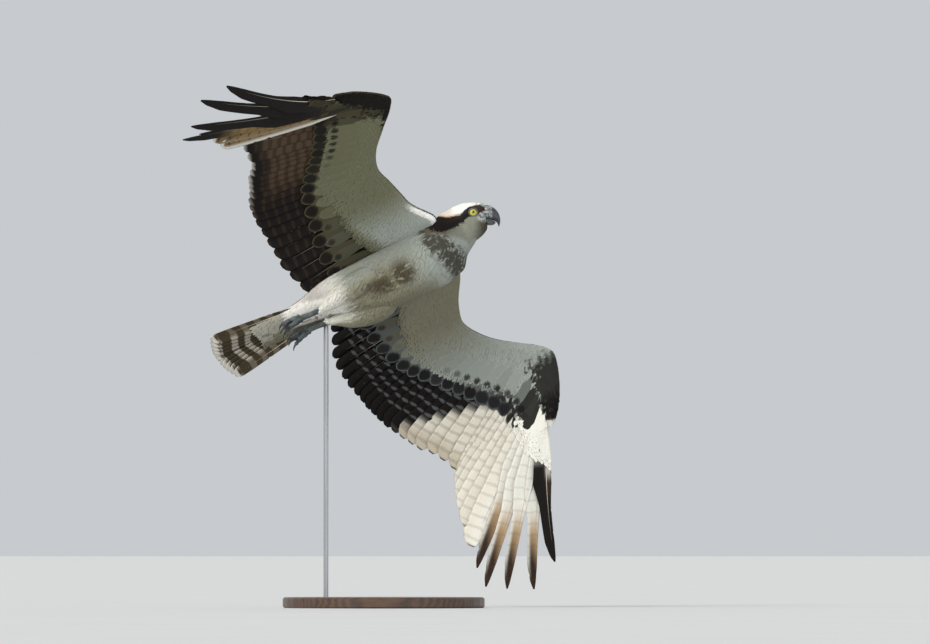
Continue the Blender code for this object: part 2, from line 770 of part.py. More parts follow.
def make_leg(side, torso):
    label = "left" if side > 0 else "right"

    def mirrored(rows):
        return [(row[0], side * row[1], row[2], row[3]) for row in rows]

    count = 2 * (len(THIGH) - 1)
    path = [tuple(smooth_table(numbered(THIGH), index / 2)) for index in range(count + 1)]
    thigh = tube(f"thigh_{label}", mirrored(path), 14)
    clear_of(thigh, torso)
    foot = tube(f"foot_{label}", mirrored(TARSUS), 8)
    hock = Vector(TARSUS[-1][:3])
    toes, claws = [], []
    plans = (
        (-0.0065, Vector((-1.0, -0.10, 0.02)), 0.50),
        (0.0000, Vector((-1.0, 0.02, 0.05)), 0.50),
        (0.0065, Vector((-1.0, 0.22, 0.00)), 0.55),
        (0.0010, Vector((-0.75, 0.05, -0.7)), -0.60),
    )
    for number, (aside, aim, curl) in enumerate(plans, 1):
        start = hock + Vector((0.003, aside * 0.6, 0))
        length = TOE_LENGTH if number < 4 else TOE_LENGTH * 0.72
        rows = bent_path(start, aim, length, TOE_RADIUS * 1.05, TOE_RADIUS * 0.72, curl, 3)
        toes.append(tube("toe", mirrored(rows), 6))
        end = Vector(rows[-1][:3])
        heading = (end - Vector(rows[-2][:3])).normalized()
        claw_rows = bent_path(
            end - heading * CLAW_SINK, heading, CLAW_LENGTH, CLAW_RADIUS, CLAW_RADIUS * 0.15, curl * 2.2, 4
        )
        claws.append(tube(f"claw_{label}_{number}", mirrored(claw_rows), 6))
    join(foot, toes)
    clear_of(foot, thigh, torso)
    for claw in claws:
        clear_of(claw, foot)
    return thigh, foot, claws


def to_world(point):
    return bird_turn() @ point + BIRD_ORIGIN


def upright(name, foot, radius, height, sides, bevel=0.0):
    rings = []
    for drop, inset in ((0, bevel), (bevel, 0), (height - bevel, 0), (height, bevel)):
        if bevel or drop in (0, height):
            spot = foot + Vector((0, 0, drop))
            reach = radius - inset
            rings.append(oval(spot, Vector((1, 0, 0)), Vector((0, 1, 0)), reach, reach, reach, sides))
    if not bevel:
        rings = rings[:1] + rings[-1:]
    return loft(name, rings)


def make_stand(torso):
    top = to_world(ROD_TOP)
    foot = Vector((top.x, top.y, BASE_HEIGHT - ROD_SINK))
    base = upright("stand_base", Vector((0, 0, 0)), BASE_RADIUS, BASE_HEIGHT, 40, BASE_BEVEL)
    rod = upright("stand_rod", foot, ROD_RADIUS, top.z - foot.z, 16)
    wide = ROD_RADIUS + GAP
    for body in (base, torso):
        bore = upright("bore", foot - Vector((0, 0, GAP)), wide, top.z - foot.z + 2 * GAP, 16)
        apply_boolean(body, "DIFFERENCE", other=bore)
        remove(bore)
        keep_largest(body)
    return base, rod


def main():
    clear_scene()
    torso = make_torso()
    neck = make_neck()
    head = make_head()
    upper, lower = make_bill()
    eyes = []
    for side, label in ((1, "left"), (-1, "right")):
        place = Vector((EYE_PLACE.x, side * EYE_PLACE.y, EYE_PLACE.z))
        eyes.append(ball(f"eye_{label}", place, EYE_RADIUS))
    for item in (head, upper, lower, *eyes):
        item.data.transform(Matrix.Translation(HEAD_CENTRE) @ head_turn().to_4x4())
    clear_of(head, neck, torso)
    tail = make_tail()
    bird = [torso, neck, head, upper, lower, tail, *eyes]
    for side in (1, -1):
        bird += make_wing(side, (torso, neck))
        thigh, foot, claws = make_leg(side, torso)
        bird += [thigh, foot, *claws]

    carrier = bpy.data.objects.new("bird", None)
    bpy.context.scene.collection.objects.link(carrier)
    carrier.matrix_world = Matrix.Translation(BIRD_ORIGIN) @ bird_turn().to_4x4()
    for item in bird:
        item.parent = carrier
    bpy.context.view_layer.update()
    stand = make_stand(torso)
    for item in (*bird, *stand):
        dress(item)


main()
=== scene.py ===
import math
import bmesh
import bpy
import numpy as np
from mathutils import Euler, Matrix, Vector


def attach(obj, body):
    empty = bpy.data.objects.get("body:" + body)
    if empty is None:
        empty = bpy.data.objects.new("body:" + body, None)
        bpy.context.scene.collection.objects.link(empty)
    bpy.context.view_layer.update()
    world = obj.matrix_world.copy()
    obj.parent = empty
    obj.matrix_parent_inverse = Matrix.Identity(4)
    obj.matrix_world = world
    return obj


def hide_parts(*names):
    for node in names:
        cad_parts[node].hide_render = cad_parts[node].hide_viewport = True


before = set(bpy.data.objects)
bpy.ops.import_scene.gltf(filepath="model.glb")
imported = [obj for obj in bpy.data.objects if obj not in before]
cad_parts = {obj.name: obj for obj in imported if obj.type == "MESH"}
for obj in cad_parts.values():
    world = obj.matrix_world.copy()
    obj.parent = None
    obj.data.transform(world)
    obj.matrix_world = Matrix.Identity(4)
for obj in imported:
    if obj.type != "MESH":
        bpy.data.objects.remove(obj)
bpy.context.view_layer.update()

rng = np.random.default_rng(41)

# How the bird hangs over its stand. The solids use the same numbers.
pose = {
    "origin": (0.080, -0.030, 0.655),
    "bank": 47.4, "climb": 22.3, "heading": -17.2,
    "headBank": 13.0, "headClimb": -1.4, "headHeading": -9.8,
    "headCentre": (0.1075, -0.0065, 0.0598),
}


def turnOf(bank, climb, heading):
    angles = (-math.radians(bank), -math.radians(climb), math.radians(heading))
    return np.array(Euler(angles, "XYZ").to_matrix())


birdTurn = turnOf(pose["bank"], pose["climb"], pose["heading"])
headTurn = birdTurn.T @ turnOf(pose["headBank"], pose["headClimb"], pose["headHeading"])
birdOrigin = np.array(pose["origin"])
headCentre = np.array(pose["headCentre"])


def toRow(points):  # from the bird's own frame to the frame of the whole part
    return points @ birdTurn.T + birdOrigin


def fromHead(points):
    return points @ headTurn.T + headCentre


def intoHead(points):
    return (points - headCentre) @ headTurn


def unit(v):
    v = np.asarray(v, float)
    return v / np.maximum(np.linalg.norm(v, axis=-1, keepdims=True), 1e-12)


def dot(a, b):
    return np.sum(a * b, -1)


def ramp(x, low, high):
    t = np.clip((np.asarray(x, float) - low) / (high - low), 0, 1)
    return t * t * (3 - 2 * t)


def blend(a, b, share):
    share = np.asarray(share, float)[..., None]
    return np.asarray(a, float) * (1 - share) + np.asarray(b, float) * share


def smoothTable(rows, at):  # a smooth cubic through rows that each start with their key
    rows = np.asarray(rows, float)
    keys, values = rows[:, 0], rows[:, 1:]
    slopes = np.gradient(values, keys, axis=0)
    at = np.clip(np.asarray(at, float), keys[0], keys[-1])
    low = np.clip(np.searchsorted(keys, at, side="right") - 1, 0, len(keys) - 2)
    span = (keys[low + 1] - keys[low])[..., None]
    t = (at - keys[low])[..., None] / span
    a, b = values[low], values[low + 1]
    return ((2 * t**3 - 3 * t**2 + 1) * a + (t**3 - 2 * t**2 + t) * slopes[low] * span
            + (3 * t**2 - 2 * t**3) * b + (t**3 - t**2) * slopes[low + 1] * span)


def numbered(rows):
    return [(index, *row) for index, row in enumerate(rows)]


def nameOf(side):  # the left side is 1, the right side is -1
    return "left" if side > 0 else "right"


def cloud(points, scale, seed=0):  # soft patches from about -1 to 1, the same for the same place
    p = np.asarray(points, float) * scale + seed * 7.13
    total = 0.0
    for step, weight in ((1.0, 0.6), (2.1, 0.35), (4.3, 0.2)):
        x, y, z = np.moveaxis(p * step, -1, 0)
        swing = np.sin(x * 1.7 + 2.3 * np.sin(y * 1.3 + seed))
        total = total + weight * swing * np.sin(z * 1.9 + 1.7 * np.sin(x + y * 0.7))
    return total


def paint(red, green, blue):  # a colour as it looks on a screen, from 0 to 255
    c = np.array((red, green, blue)) / 255
    return np.where(c <= 0.04045, c / 12.92, ((c + 0.055) / 1.055) ** 2.4)


colours = {
    "white": paint(236, 234, 224),
    "cream": paint(224, 214, 190),
    # The lining, shade, throat and olive colours are pale underparts darkened and tinted green-grey as
    # painted shade. Slate is the blue-grey of painted shade. Moss serves both for dark olive marks and for
    # painted shade.
    "lining": paint(160, 166, 158),
    "shade": paint(148, 145, 122),
    "smoke": paint(128, 124, 116),
    "buff": paint(206, 150, 92),
    "brown": paint(84, 62, 46),
    "umber": paint(52, 38, 29),
    "black": paint(24, 20, 19),
    "gold": paint(168, 128, 74),
    "crown": paint(246, 244, 238),
    "gape": paint(74, 76, 78),
    "straw": paint(150, 124, 82),
    "bark": paint(84, 68, 50),
    "throat": paint(136, 138, 124),
    "lores": paint(186, 190, 188),
    "shadedOlive": paint(116, 116, 92),
    "moss": paint(74, 68, 50),
    "shadeSlate": paint(86, 93, 98),
}


# Materials
def newMaterial(name, roughness, **sockets):
    m = bpy.data.materials.new(name)
    m.use_nodes = True
    shader = m.node_tree.nodes["Principled BSDF"]
    shader.inputs["Roughness"].default_value = roughness
    for socket, value in sockets.items():
        shader.inputs[socket.replace("_", " ")].default_value = value
    return m, m.node_tree, shader


def addNode(tree, kind, values=None, links=None, **settings):
    node = tree.nodes.new(kind)
    for key, value in settings.items():
        setattr(node, key, value)
    for key, value in (values or {}).items():
        node.inputs[key].default_value = value
    for key, source in (links or {}).items():
        tree.links.new(source, node.inputs[key])
    return node


def mathNode(tree, operation, a, b=0.5, clamp=False):
    node = tree.nodes.new("ShaderNodeMath")
    node.operation, node.use_clamp = operation, clamp
    for slot, value in enumerate((a, b)):
        if isinstance(value, (int, float)):
            node.inputs[slot].default_value = value
        else:
            tree.links.new(value, node.inputs[slot])
    return node.outputs["Value"]


def remap(tree, source, low, high, toLow, toHigh, smooth=False):
    values = {"From Min": low, "From Max": high, "To Min": toLow, "To Max": toHigh}
    node = addNode(tree, "ShaderNodeMapRange", values, {"Value": source},
                   interpolation_type="SMOOTHSTEP" if smooth else "LINEAR")
    return node.outputs["Result"]


def attribute(tree, name, output="Color"):
    return addNode(tree, "ShaderNodeAttribute", attribute_name=name).outputs[output]


def placeOn(tree):
    return addNode(tree, "ShaderNodeTexCoord").outputs["Object"]


def stretched(tree, *scale):
    return addNode(tree, "ShaderNodeMapping", {"Scale": scale}, {"Vector": placeOn(tree)}).outputs["Vector"]


def noise(tree, place, scale, detail, **more):
    values = {"Scale": scale, "Detail": detail, **more}
    return addNode(tree, "ShaderNodeTexNoise", values, {"Vector": place}).outputs["Fac"]


def twoTones(tree, share, first, second, low=0.0, high=1.0):
    node = addNode(tree, "ShaderNodeValToRGB", links={"Fac": share})
    for element, place, tone in zip(node.color_ramp.elements, (low, high), (first, second)):
        element.position, element.color = place, (*paint(*tone), 1)
    return node.outputs["Color"]


def colourBy(tree, shader, colour, share):  # base colour, made darker or lighter by the share
    scaled = addNode(tree, "ShaderNodeVectorMath", links={0: colour, "Scale": share}, operation="SCALE")
    tree.links.new(scaled.outputs["Vector"], shader.inputs["Base Color"])


def bumpBy(tree, shader, height, strength, distance):
    bump = addNode(tree, "ShaderNodeBump", {"Strength": strength, "Distance": distance}, {"Height": height})
    tree.links.new(bump.outputs["Normal"], shader.inputs["Normal"])


def plumage(name, roughness, barbs, relief):
    # ground and mark colours come from the feather; bars run where its phase comes round
    m, tree, shader = newMaterial(name, roughness, Specular_IOR_Level=0.12)
    tint, mark = attribute(tree, "tint"), attribute(tree, "mark")
    parts = addNode(tree, "ShaderNodeSeparateXYZ", links={"Vector": attribute(tree, "vane", "Vector")})
    place = placeOn(tree)
    fine, broad = noise(tree, place, 420.0, 3.0), noise(tree, place, 75.0, 2.0)
    phase = mathNode(tree, "ADD", parts.outputs["X"], mathNode(tree, "MULTIPLY", fine, 0.10))
    phase = mathNode(tree, "ADD", phase, mathNode(tree, "MULTIPLY", broad, 0.30))
    away = mathNode(tree, "MULTIPLY", mathNode(tree, "PINGPONG", phase, 0.5), 2.0)
    bars = remap(tree, mathNode(tree, "SUBTRACT", parts.outputs["Y"], away), -0.14, 0.14, 0, 1, True)
    mix = addNode(tree, "ShaderNodeMix", links={"Factor": bars}, data_type="RGBA")
    for key, source in (("A", tint), ("B", mark)):  # number sockets of this node have the same names
        tree.links.new(source, next(s for s in mix.inputs if s.name == key and s.type == "RGBA"))
    mixed = next(s for s in mix.outputs if s.type == "RGBA")
    values = {"Scale": barbs, "Distortion": 1.5, "Detail": 2.0, "Detail Scale": 2.0}
    wave = addNode(tree, "ShaderNodeTexWave", values, {"Vector": attribute(tree, "barb", "Vector")},
                   wave_type="BANDS", bands_direction="X").outputs["Fac"]
    patches, lines = remap(tree, fine, 0.3, 0.7, 0.95, 1.05), remap(tree, wave, 0, 1, 0.96, 1.02)
    colourBy(tree, shader, mixed, mathNode(tree, "MULTIPLY", patches, lines))
    bumpBy(tree, shader, wave, relief, 0.0004)
    return m


finishes = {
    "skin": plumage("down_over_skin", 0.85, 300.0, 0.2),
    "coat": plumage("body_feathers", 0.80, 420.0, 0.08),
    "flight": plumage("flight_feathers", 0.55, 300.0, 0.30),
}


# Meshes from arrays. The points come in the bird's frame.
def meshPiece(name, points, faces, material, layers=None, uv=None, normals=None):
    mesh = bpy.data.meshes.new(name)
    points = np.ascontiguousarray(toRow(points), dtype=np.float32)
    faces = np.asarray(faces, dtype=np.int32)
    sides = faces.shape[1]
    mesh.vertices.add(len(points))
    mesh.vertices.foreach_set("co", points.ravel())
    mesh.loops.add(faces.size)
    mesh.loops.foreach_set("vertex_index", faces.ravel())
    mesh.polygons.add(len(faces))
    mesh.polygons.foreach_set("loop_start", np.arange(0, faces.size, sides, dtype=np.int32))
    mesh.polygons.foreach_set("loop_total", np.full(len(faces), sides, dtype=np.int32))
    mesh.update(calc_edges=True)
    dressMesh(mesh, layers or {})
    if uv is not None:
        layer = mesh.uv_layers.new(name="OFBake")
        layer.data.foreach_set("uv", np.ascontiguousarray(uv[faces.ravel()], dtype=np.float32).ravel())
    mesh.materials.append(material)
    mesh.shade_smooth()
    if normals is not None:  # shaded as the smooth body that the feathers make together
        mesh.normals_split_custom_set_from_vertices((normals @ birdTurn.T).tolist())
    piece = bpy.data.objects.new(name, mesh)
    bpy.context.scene.collection.objects.link(piece)
    return piece


def dressMesh(mesh, layers):
    for key, values in layers.items():
        values = np.asarray(values, np.float32)
        if key in ("tint", "mark"):
            rgba = np.ones((len(values), 4), np.float32)
            rgba[:, :3] = np.clip(values, 0, 1)
            mesh.attributes.new(key, "FLOAT_COLOR", "POINT").data.foreach_set("color", rgba.ravel())
        else:
            mesh.attributes.new(key, "FLOAT_VECTOR", "POINT").data.foreach_set("vector", values.ravel())


def settle(piece, slotName, *nodes):
    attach(piece, "root")
    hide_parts(*nodes)
    print(piece.name, len(piece.data.polygons), "faces")


class Heap:  # gathers many small meshes into one piece
    def __init__(self):
        self.points, self.faces, self.uv, self.layers, self.count = [], [], [], {}, 0

    def add(self, points, faces, uv, **layers):
        self.points.append(points)
        self.faces.append(faces + self.count)
        self.uv.append(uv)
        for key, values in layers.items():
            self.layers.setdefault(key, []).append(values)
        self.count += len(points)

    def piece(self, name, material):
        layers = {key: np.concatenate(values) for key, values in self.layers.items()}
        normals = layers.pop("normal", None)
        return meshPiece(name, np.concatenate(self.points), np.concatenate(self.faces), material, layers,
                         np.concatenate(self.uv), normals)


def vaneSheet(rows, columns):
    # a closed flat plate: share along, share across from -1 to 1, and which face
    s, t = np.meshgrid(np.linspace(0, 1, rows), np.linspace(-1, 1, columns), indexing="ij")
    top = np.arange(rows * columns).reshape(rows, columns)
    low = top.copy()
    low[1:-1, 1:-1] = rows * columns + np.arange((rows - 2) * (columns - 2)).reshape(rows - 2, columns - 2)
    faces = []
    for ids, order in ((top, (0, 1, 2, 3)), (low, (0, 3, 2, 1))):
        corners = (ids[:-1, :-1], ids[1:, :-1], ids[1:, 1:], ids[:-1, 1:])
        faces.append(np.stack([corners[k] for k in order], -1).reshape(-1, 4))
    side = np.zeros((rows, columns))
    side[1:-1, 1:-1] = 1
    inner = (slice(1, -1), slice(1, -1))
    return (np.concatenate([s.ravel(), s[inner].ravel()]), np.concatenate([t.ravel(), t[inner].ravel()]),
            np.concatenate([side.ravel(), -np.ones(s[inner].size)]), np.concatenate(faces))


# Surfaces as grids of points: rows run forwards, so that feathers lie towards row 0
def gridAt(grid, i, j, wrap):
    rows, columns = grid.shape[:2]
    i0 = np.clip(np.floor(i).astype(int), 0, rows - 2)
    fi = np.clip(i - i0, 0, 1)[..., None]
    j0 = np.floor(j).astype(int)
    if wrap:
        fj = (j - j0)[..., None]
        ja, jb = j0 % columns, (j0 + 1) % columns
    else:
        j0 = np.clip(j0, 0, columns - 2)
        fj = np.clip(j - j0, 0, 1)[..., None]
        ja, jb = j0, j0 + 1
    near = grid[i0, ja] * (1 - fj) + grid[i0, jb] * fj
    far = grid[i0 + 1, ja] * (1 - fj) + grid[i0 + 1, jb] * fj
    return near * (1 - fi) + far * fi


laying = {
    "sideJitter": 0.18, "rowJitter": 0.15, "rowPitch": 0.80,  # shares of the spacing
    "ownFacing": 0.3, "tipFacing": 0.10, "edgeFacing": 0.12,  # how a feather's shading leaves the body's
}


class Surface:
    def __init__(self, grid, wrap, outward):
        self.grid, self.wrap = grid, wrap
        self.alongRows = np.gradient(grid, axis=0)
        if wrap:
            self.acrossRows = (np.roll(grid, -1, 1) - np.roll(grid, 1, 1)) / 2
        else:
            self.acrossRows = np.gradient(grid, axis=1)
        normal = unit(np.cross(self.alongRows, self.acrossRows))
        self.normal = normal * np.sign(np.mean(dot(normal, outward(grid))))

    def at(self, field, i, j):
        return gridAt(field, i, j, self.wrap)

    def rowStep(self):
        return np.linalg.norm(self.alongRows, axis=-1).mean(1)

    def roots(self, first, last, spacing):
        # staggered rows of roots, spaced by a function of the row; the jitter keeps them from lining up
        spots, row, odd = [], first, 0
        step, sides = self.rowStep(), self.grid.shape[1]
        while row < last:
            gap = spacing(row)
            ring = self.at(self.grid, np.full(sides, row), np.arange(sides))
            if self.wrap:
                ring = np.vstack([ring, ring[:1]])
            length = np.concatenate([[0], np.cumsum(np.linalg.norm(np.diff(ring, axis=0), axis=1))])
            count = max(3, int(length[-1] / gap))
            aside, along = laying["sideJitter"], laying["rowJitter"]
            marks = np.arange(count) + 0.5 * odd + 0.25 + rng.uniform(-aside, aside, count)
            marks = marks / count * length[-1]
            marks = marks % length[-1] if self.wrap else np.clip(marks, 0, length[-1])
            columns = np.interp(marks, length, np.arange(len(length)))
            rows = row + rng.uniform(-along, along, count) * gap / step[int(row)]
            spots.append(np.stack([rows, columns], -1))
            row += gap * laying["rowPitch"] / step[min(int(row), len(step) - 1)]
            odd = 1 - odd
        return np.concatenate(spots)


vanes = {
    "small": ((0, 0.30), (0.35, 0.80), (0.70, 1.0), (0.90, 0.72), (1, 0.16)),
    "covert": ((0, 0.45), (0.4, 0.85), (0.80, 1.0), (0.93, 0.80), (1, 0.25)),
    "round": ((0, 0.30), (0.35, 0.90), (0.80, 1.0), (0.94, 0.92), (0.98, 0.66), (1.0, 0.26)),
    "finger": ((0, 0.28), (0.20, 0.80), (0.44, 1.0), (0.60, 0.62), (0.86, 0.52), (0.96, 0.30), (1.0, 0.08)),
    "noBars": np.array((0.0, -1.0, 0.0)),
}


def layOn(heap, surface, spots, length, halfWidth, base, rise, tintOf, uvAt, turn=None, rows=5, columns=3,
          arch=0.06, outline=vanes["small"], thickness=0.00045):
    # lays a feather along the surface from each root: base and rise are its height at root and tip
    s, t, side, faces = vaneSheet(rows, columns)
    i, j = spots[:, 0], spots[:, 1]
    ti, tj = surface.at(surface.alongRows, i, j), surface.at(surface.acrossRows, i, j)
    n = unit(surface.at(surface.normal, i, j))
    lie = unit(-ti)
    if turn is not None:
        angle = np.broadcast_to(turn, i.shape)[:, None]
        lie = lie * np.cos(angle) + np.cross(n, lie) * np.sin(angle)
    side3 = np.cross(n, lie)
    a, b, c = dot(ti, ti), dot(ti, tj), dot(tj, tj)
    det = np.maximum(a * c - b * b, 0.25 * a * c)

    def steps(v):
        p, q = dot(ti, v), dot(tj, v)
        return (c * p - b * q) / det, (a * q - b * p) / det

    (li, lj), (si, sj) = steps(lie), steps(side3)
    shape = np.interp(s, *zip(*outline))
    length, halfWidth = np.broadcast_to(length, i.shape), np.broadcast_to(halfWidth, i.shape)
    base, rise = np.broadcast_to(base, i.shape), np.broadcast_to(rise, i.shape)
    ahead = length[:, None] * s
    aside = halfWidth[:, None] * shape * t
    gi = i[:, None] + li[:, None] * ahead + si[:, None] * aside
    gj = j[:, None] + lj[:, None] * ahead + sj[:, None] * aside
    where = surface.at(surface.grid, gi, gj)
    over = gi < 0  # past the last row the feather runs straight on
    short = np.where(over, -gi, 0) * np.linalg.norm(ti, axis=-1)[:, None]
    where = where + lie[:, None] * short[..., None]
    out = unit(surface.at(surface.normal, gi, gj))
    height = (base[:, None] + (rise - base)[:, None] * s + arch * halfWidth[:, None] * shape * (1 - t * t)
              + side * thickness / 2)
    points = where + out * height[..., None]
    facing = unit(out + n[:, None] * laying["ownFacing"] - lie[:, None] * laying["tipFacing"]
                  + side3[:, None] * (laying["edgeFacing"] * t)[None, :, None])
    facing = facing * np.where(side < 0, -1, 1)[None, :, None]
    rootPlace = surface.at(surface.grid, i + li * length * 0.6, j + lj * length * 0.6)
    tint, mark, vane = tintOf(rootPlace, out[:, 0], spots, s, t)
    u, v = uvAt(spots)
    uv = np.stack([u[:, None] + 0.0015 * shape * t, v[:, None] + 0.003 * (0.5 - s)], -1)
    barb = np.stack([ahead - np.abs(aside) * 0.7, aside, np.broadcast_to(i[:, None], aside.shape)], -1)
    count, size = len(i), len(s)
    offset = (np.arange(count) * size)[:, None, None]
    layers = {"tint": tint, "mark": mark, "vane": vane, "barb": barb, "normal": facing}
    layers = {key: np.broadcast_to(value, (count, size, 3)).reshape(-1, 3) for key, value in layers.items()}
    heap.add(points.reshape(-1, 3), (faces[None] + offset).reshape(-1, 4), uv.reshape(-1, 2), **layers)


# Body, neck and head
body = {
    "sides": 96, "tailRows": 8, "trunkRows": 64, "neckRows": 30, "headRows": 40,
    "tailFlesh": ((-0.2363, -0.005, 0.0405, 0.0157, 0.0167), (-0.252, -0.005, 0.034, 0.0125, 0.0140),
                  (-0.274, -0.006, 0.025, 0.0070, 0.0095)),
    "trunk": ((-0.236, -0.005, 0.041, 0.016, 0.017), (-0.215, -0.006, 0.049, 0.022, 0.024),
              (-0.180, -0.006, 0.056, 0.029, 0.035), (-0.130, -0.006, 0.060, 0.037, 0.046),
              (-0.070, -0.004, 0.062, 0.043, 0.055), (-0.010, 0.000, 0.063, 0.049, 0.059),
              (0.025, 0.003, 0.062, 0.056, 0.055), (0.046, 0.010, 0.059, 0.058, 0.050)),
    "head": ((-0.036, 0.0200, 0.0085, -0.0485, 0.0290), (-0.027, 0.0240, 0.0150, -0.0430, 0.0280),
             (-0.016, 0.0264, 0.0208, -0.0372, 0.0262), (-0.004, 0.0274, 0.0248, -0.0315, 0.0238),
             (0.007, 0.0274, 0.0275, -0.0265, 0.0206), (0.0155, 0.0260, 0.0282, -0.0224, 0.0165),
             (0.0225, 0.0228, 0.0282, -0.0190, 0.0118)),
    "neckLeave": (0.050, 0, 0.010), "neckArrive": (0.044, 0, 0.032), "neckCrest": 0.13, "neckThroat": 0.10,
    "skinDepth": 0.0030, "skinVoxel": 0.0026,
}


def ovalRings(centres, lefts, ups, halfWidth, rise, drop, sides):
    angle = np.linspace(0, 2 * math.pi, sides, endpoint=False)
    height = np.where(np.sin(angle) > 0, rise[:, None], drop[:, None]) * np.sin(angle)
    return (centres[:, None] + lefts[:, None] * (halfWidth[:, None] * np.cos(angle))[..., None]
            + ups[:, None] * height[..., None])


def levelRings(rows, at, sides):
    x, middle, half, rise, drop = smoothTable(numbered(rows), at).T
    centres = np.stack([x, 0 * x, middle], -1)
    return ovalRings(centres, np.tile((0.0, 1.0, 0.0), (len(x), 1)), np.tile((0.0, 0.0, 1.0), (len(x), 1)),
                     half, rise, drop, sides)


def leaningRings(rows, at, sides, topShare=1.0):
    topX, topZ, lowX, lowZ, half = smoothTable(numbered(rows), at).T
    angle = np.linspace(0, 2 * math.pi, sides, endpoint=False)
    middle = np.stack([(topX + lowX) / 2, 0 * topX, (topZ + lowZ) / 2], -1)
    rise = np.stack([(topX - lowX) / 2, 0 * topX, (topZ - lowZ) / 2], -1)
    ring = middle[:, None] + rise[:, None] * np.sin(angle)[None, :, None]
    ring[..., 1] += half[:, None] * np.cos(angle) * np.where(np.sin(angle) > 0, topShare, 1.0)
    return ring


def bodyGrid():
    sides = body["sides"]
    tail = levelRings(body["tailFlesh"], np.linspace(2, 0, body["tailRows"]), sides)
    trunk = levelRings(body["trunk"], np.linspace(0, 7, body["trunkRows"]), sides)
    head = fromHead(leaningRings(body["head"], np.linspace(0, 6, body["headRows"]), sides))
    start, end = trunk[-1], head[0]
    a, b = start.mean(0), end.mean(0)
    leave, arrive = np.array(body["neckLeave"]), headTurn @ np.array(body["neckArrive"])
    t = np.linspace(0, 1, body["neckRows"])[1:-1, None]
    ease = ramp(t, 0, 1)[..., None]
    centre = (a * (2 * t**3 - 3 * t**2 + 1) + leave * (t**3 - 2 * t**2 + t) + b * (3 * t**2 - 2 * t**3)
              + arrive * (t**3 - t**2))
    share = ramp(np.sin(np.linspace(0, 2 * math.pi, sides, endpoint=False)), -0.8, 0.2)
    full = (1 + body["neckCrest"] * share * np.sin(math.pi * t)
            + body["neckThroat"] * (1 - share) * np.sin(math.pi * t * t))
    neck = centre[:, None] + ((start - a) * (1 - ease) + (end - b) * ease) * full[..., None]
    return np.concatenate([tail[:-1], trunk, neck, head])


def fromMiddle(grid):
    return grid - grid.mean(1, keepdims=True)


outerBody = Surface(bodyGrid(), True, fromMiddle)
print("body grid", outerBody.grid.shape)

# Wing lines, the same numbers as the solids
wing = {
    "roots": ((1, 0.038, 0.428, -0.027), (5.5, 0.056, 0.388, 0.001), (10, 0.066, 0.346, 0.025),
              (11, 0.060, 0.329, 0.032), (14.5, 0.036, 0.296, 0.036), (18, 0.006, 0.262, 0.038),
              (23, -0.046, 0.205, 0.037), (27, -0.064, 0.140, 0.029), (30, -0.072, 0.075, 0.020)),
    "tips": ((1, -0.072, 0.651, -0.160), (2, -0.127, 0.668, -0.188), (3, -0.168, 0.634, -0.202),
             (4, -0.201, 0.611, -0.198), (5, -0.203, 0.580, -0.174), (6, -0.198, 0.548, -0.148),
             (8, -0.188, 0.497, -0.104), (10, -0.174, 0.468, -0.077), (11, -0.164, 0.453, -0.066),
             (13, -0.172, 0.407, -0.047), (16, -0.205, 0.358, -0.025), (20, -0.240, 0.297, 0.000),
             (24, -0.256, 0.227, 0.008), (27, -0.256, 0.150, 0.002), (30, -0.236, 0.060, -0.004)),
    "flesh": ((0.048, 0.028, 0.020, -0.096, 0.028, 0.012, 0.036),
              (0.037, 0.075, 0.025, -0.090, 0.076, 0.020, 0.032),
              (0.022, 0.120, 0.032, -0.084, 0.122, 0.027, 0.029),
              (0.002, 0.165, 0.041, -0.074, 0.168, 0.033, 0.026),
              (-0.007, 0.203, 0.046, -0.057, 0.202, 0.036, 0.024),
              (0.014, 0.248, 0.047, -0.020, 0.242, 0.037, 0.021),
              (0.050, 0.285, 0.047, 0.011, 0.277, 0.035, 0.020),
              (0.083, 0.313, 0.046, 0.034, 0.305, 0.033, 0.019),
              (0.101, 0.336, 0.042, 0.052, 0.333, 0.028, 0.018),
              (0.101, 0.356, 0.029, 0.053, 0.355, 0.017, 0.017),
              (0.090, 0.386, 0.008, 0.048, 0.384, -0.001, 0.015),
              (0.070, 0.420, -0.015, 0.036, 0.412, -0.021, 0.013),
              (0.044, 0.446, -0.034, 0.022, 0.438, -0.038, 0.010)),
    "elbowShift": 0.015, "wristShift": 0.006, "trailingShift": 0.014,
    "rightTips": ((1, 0.001, 0.009, -0.027), (2, 0.010, 0.006, -0.030), (3, 0.010, 0.003, -0.026),
                  (4, 0.012, 0.000, -0.020), (5, 0.032, -0.002, 0.001), (7, 0.030, -0.008, -0.006),
                  (8, 0.024, -0.005, -0.004), (10, 0.010, 0.004, 0.008), (13, 0.0, 0.0, 0.0)),
    "rightShoulder": 0.020, "rightFingerBow": 0.010, "tilt": 6.0,
    # beyond the last order in the tables, the feathers follow at one pitch
    "lastOrder": 30, "innerEdge": 0.075, "innerPitch": 0.021, "innerTipStep": (0.012, -0.014, -0.002),
    "usualLength": 0.235, "longestCoverts": 0.165,
    "stations": 110, "chordSteps": 80,
}


def wingPlace(side, p):  # the two wings differ a little in this pose
    p = np.asarray(p, float)
    x, y, z = p[..., 0], p[..., 1], p[..., 2]
    start, full = (0.060, 0.140) if side > 0 else (0.090, 0.180)
    inner = wing["elbowShift"] * ramp(y, start, full) * (1 - ramp(y, 0.260, 0.345))
    outer = wing["wristShift"] * ramp(y, 0.260, 0.345) * (1 - ramp(y, 0.420, 0.500))
    ahead = 0.0
    if side < 0:
        shoulder = ramp(y, 0.030, 0.070) * (1 - ramp(y, 0.055, 0.120)) * ramp(x, -0.080, 0.020)
        ahead = wing["rightShoulder"] * shoulder
    return np.stack([x - side * (inner + outer) + ahead, side * y, z], -1)


def pastLast(order):
    return np.maximum(order - wing["lastOrder"], 0)[..., None]


def featherRoot(side, order):
    order = np.asarray(order, float)
    step = np.array((0.0, -side * wing["innerPitch"], -0.002))
    return wingPlace(side, smoothTable(wing["roots"], order)) + pastLast(order) * step


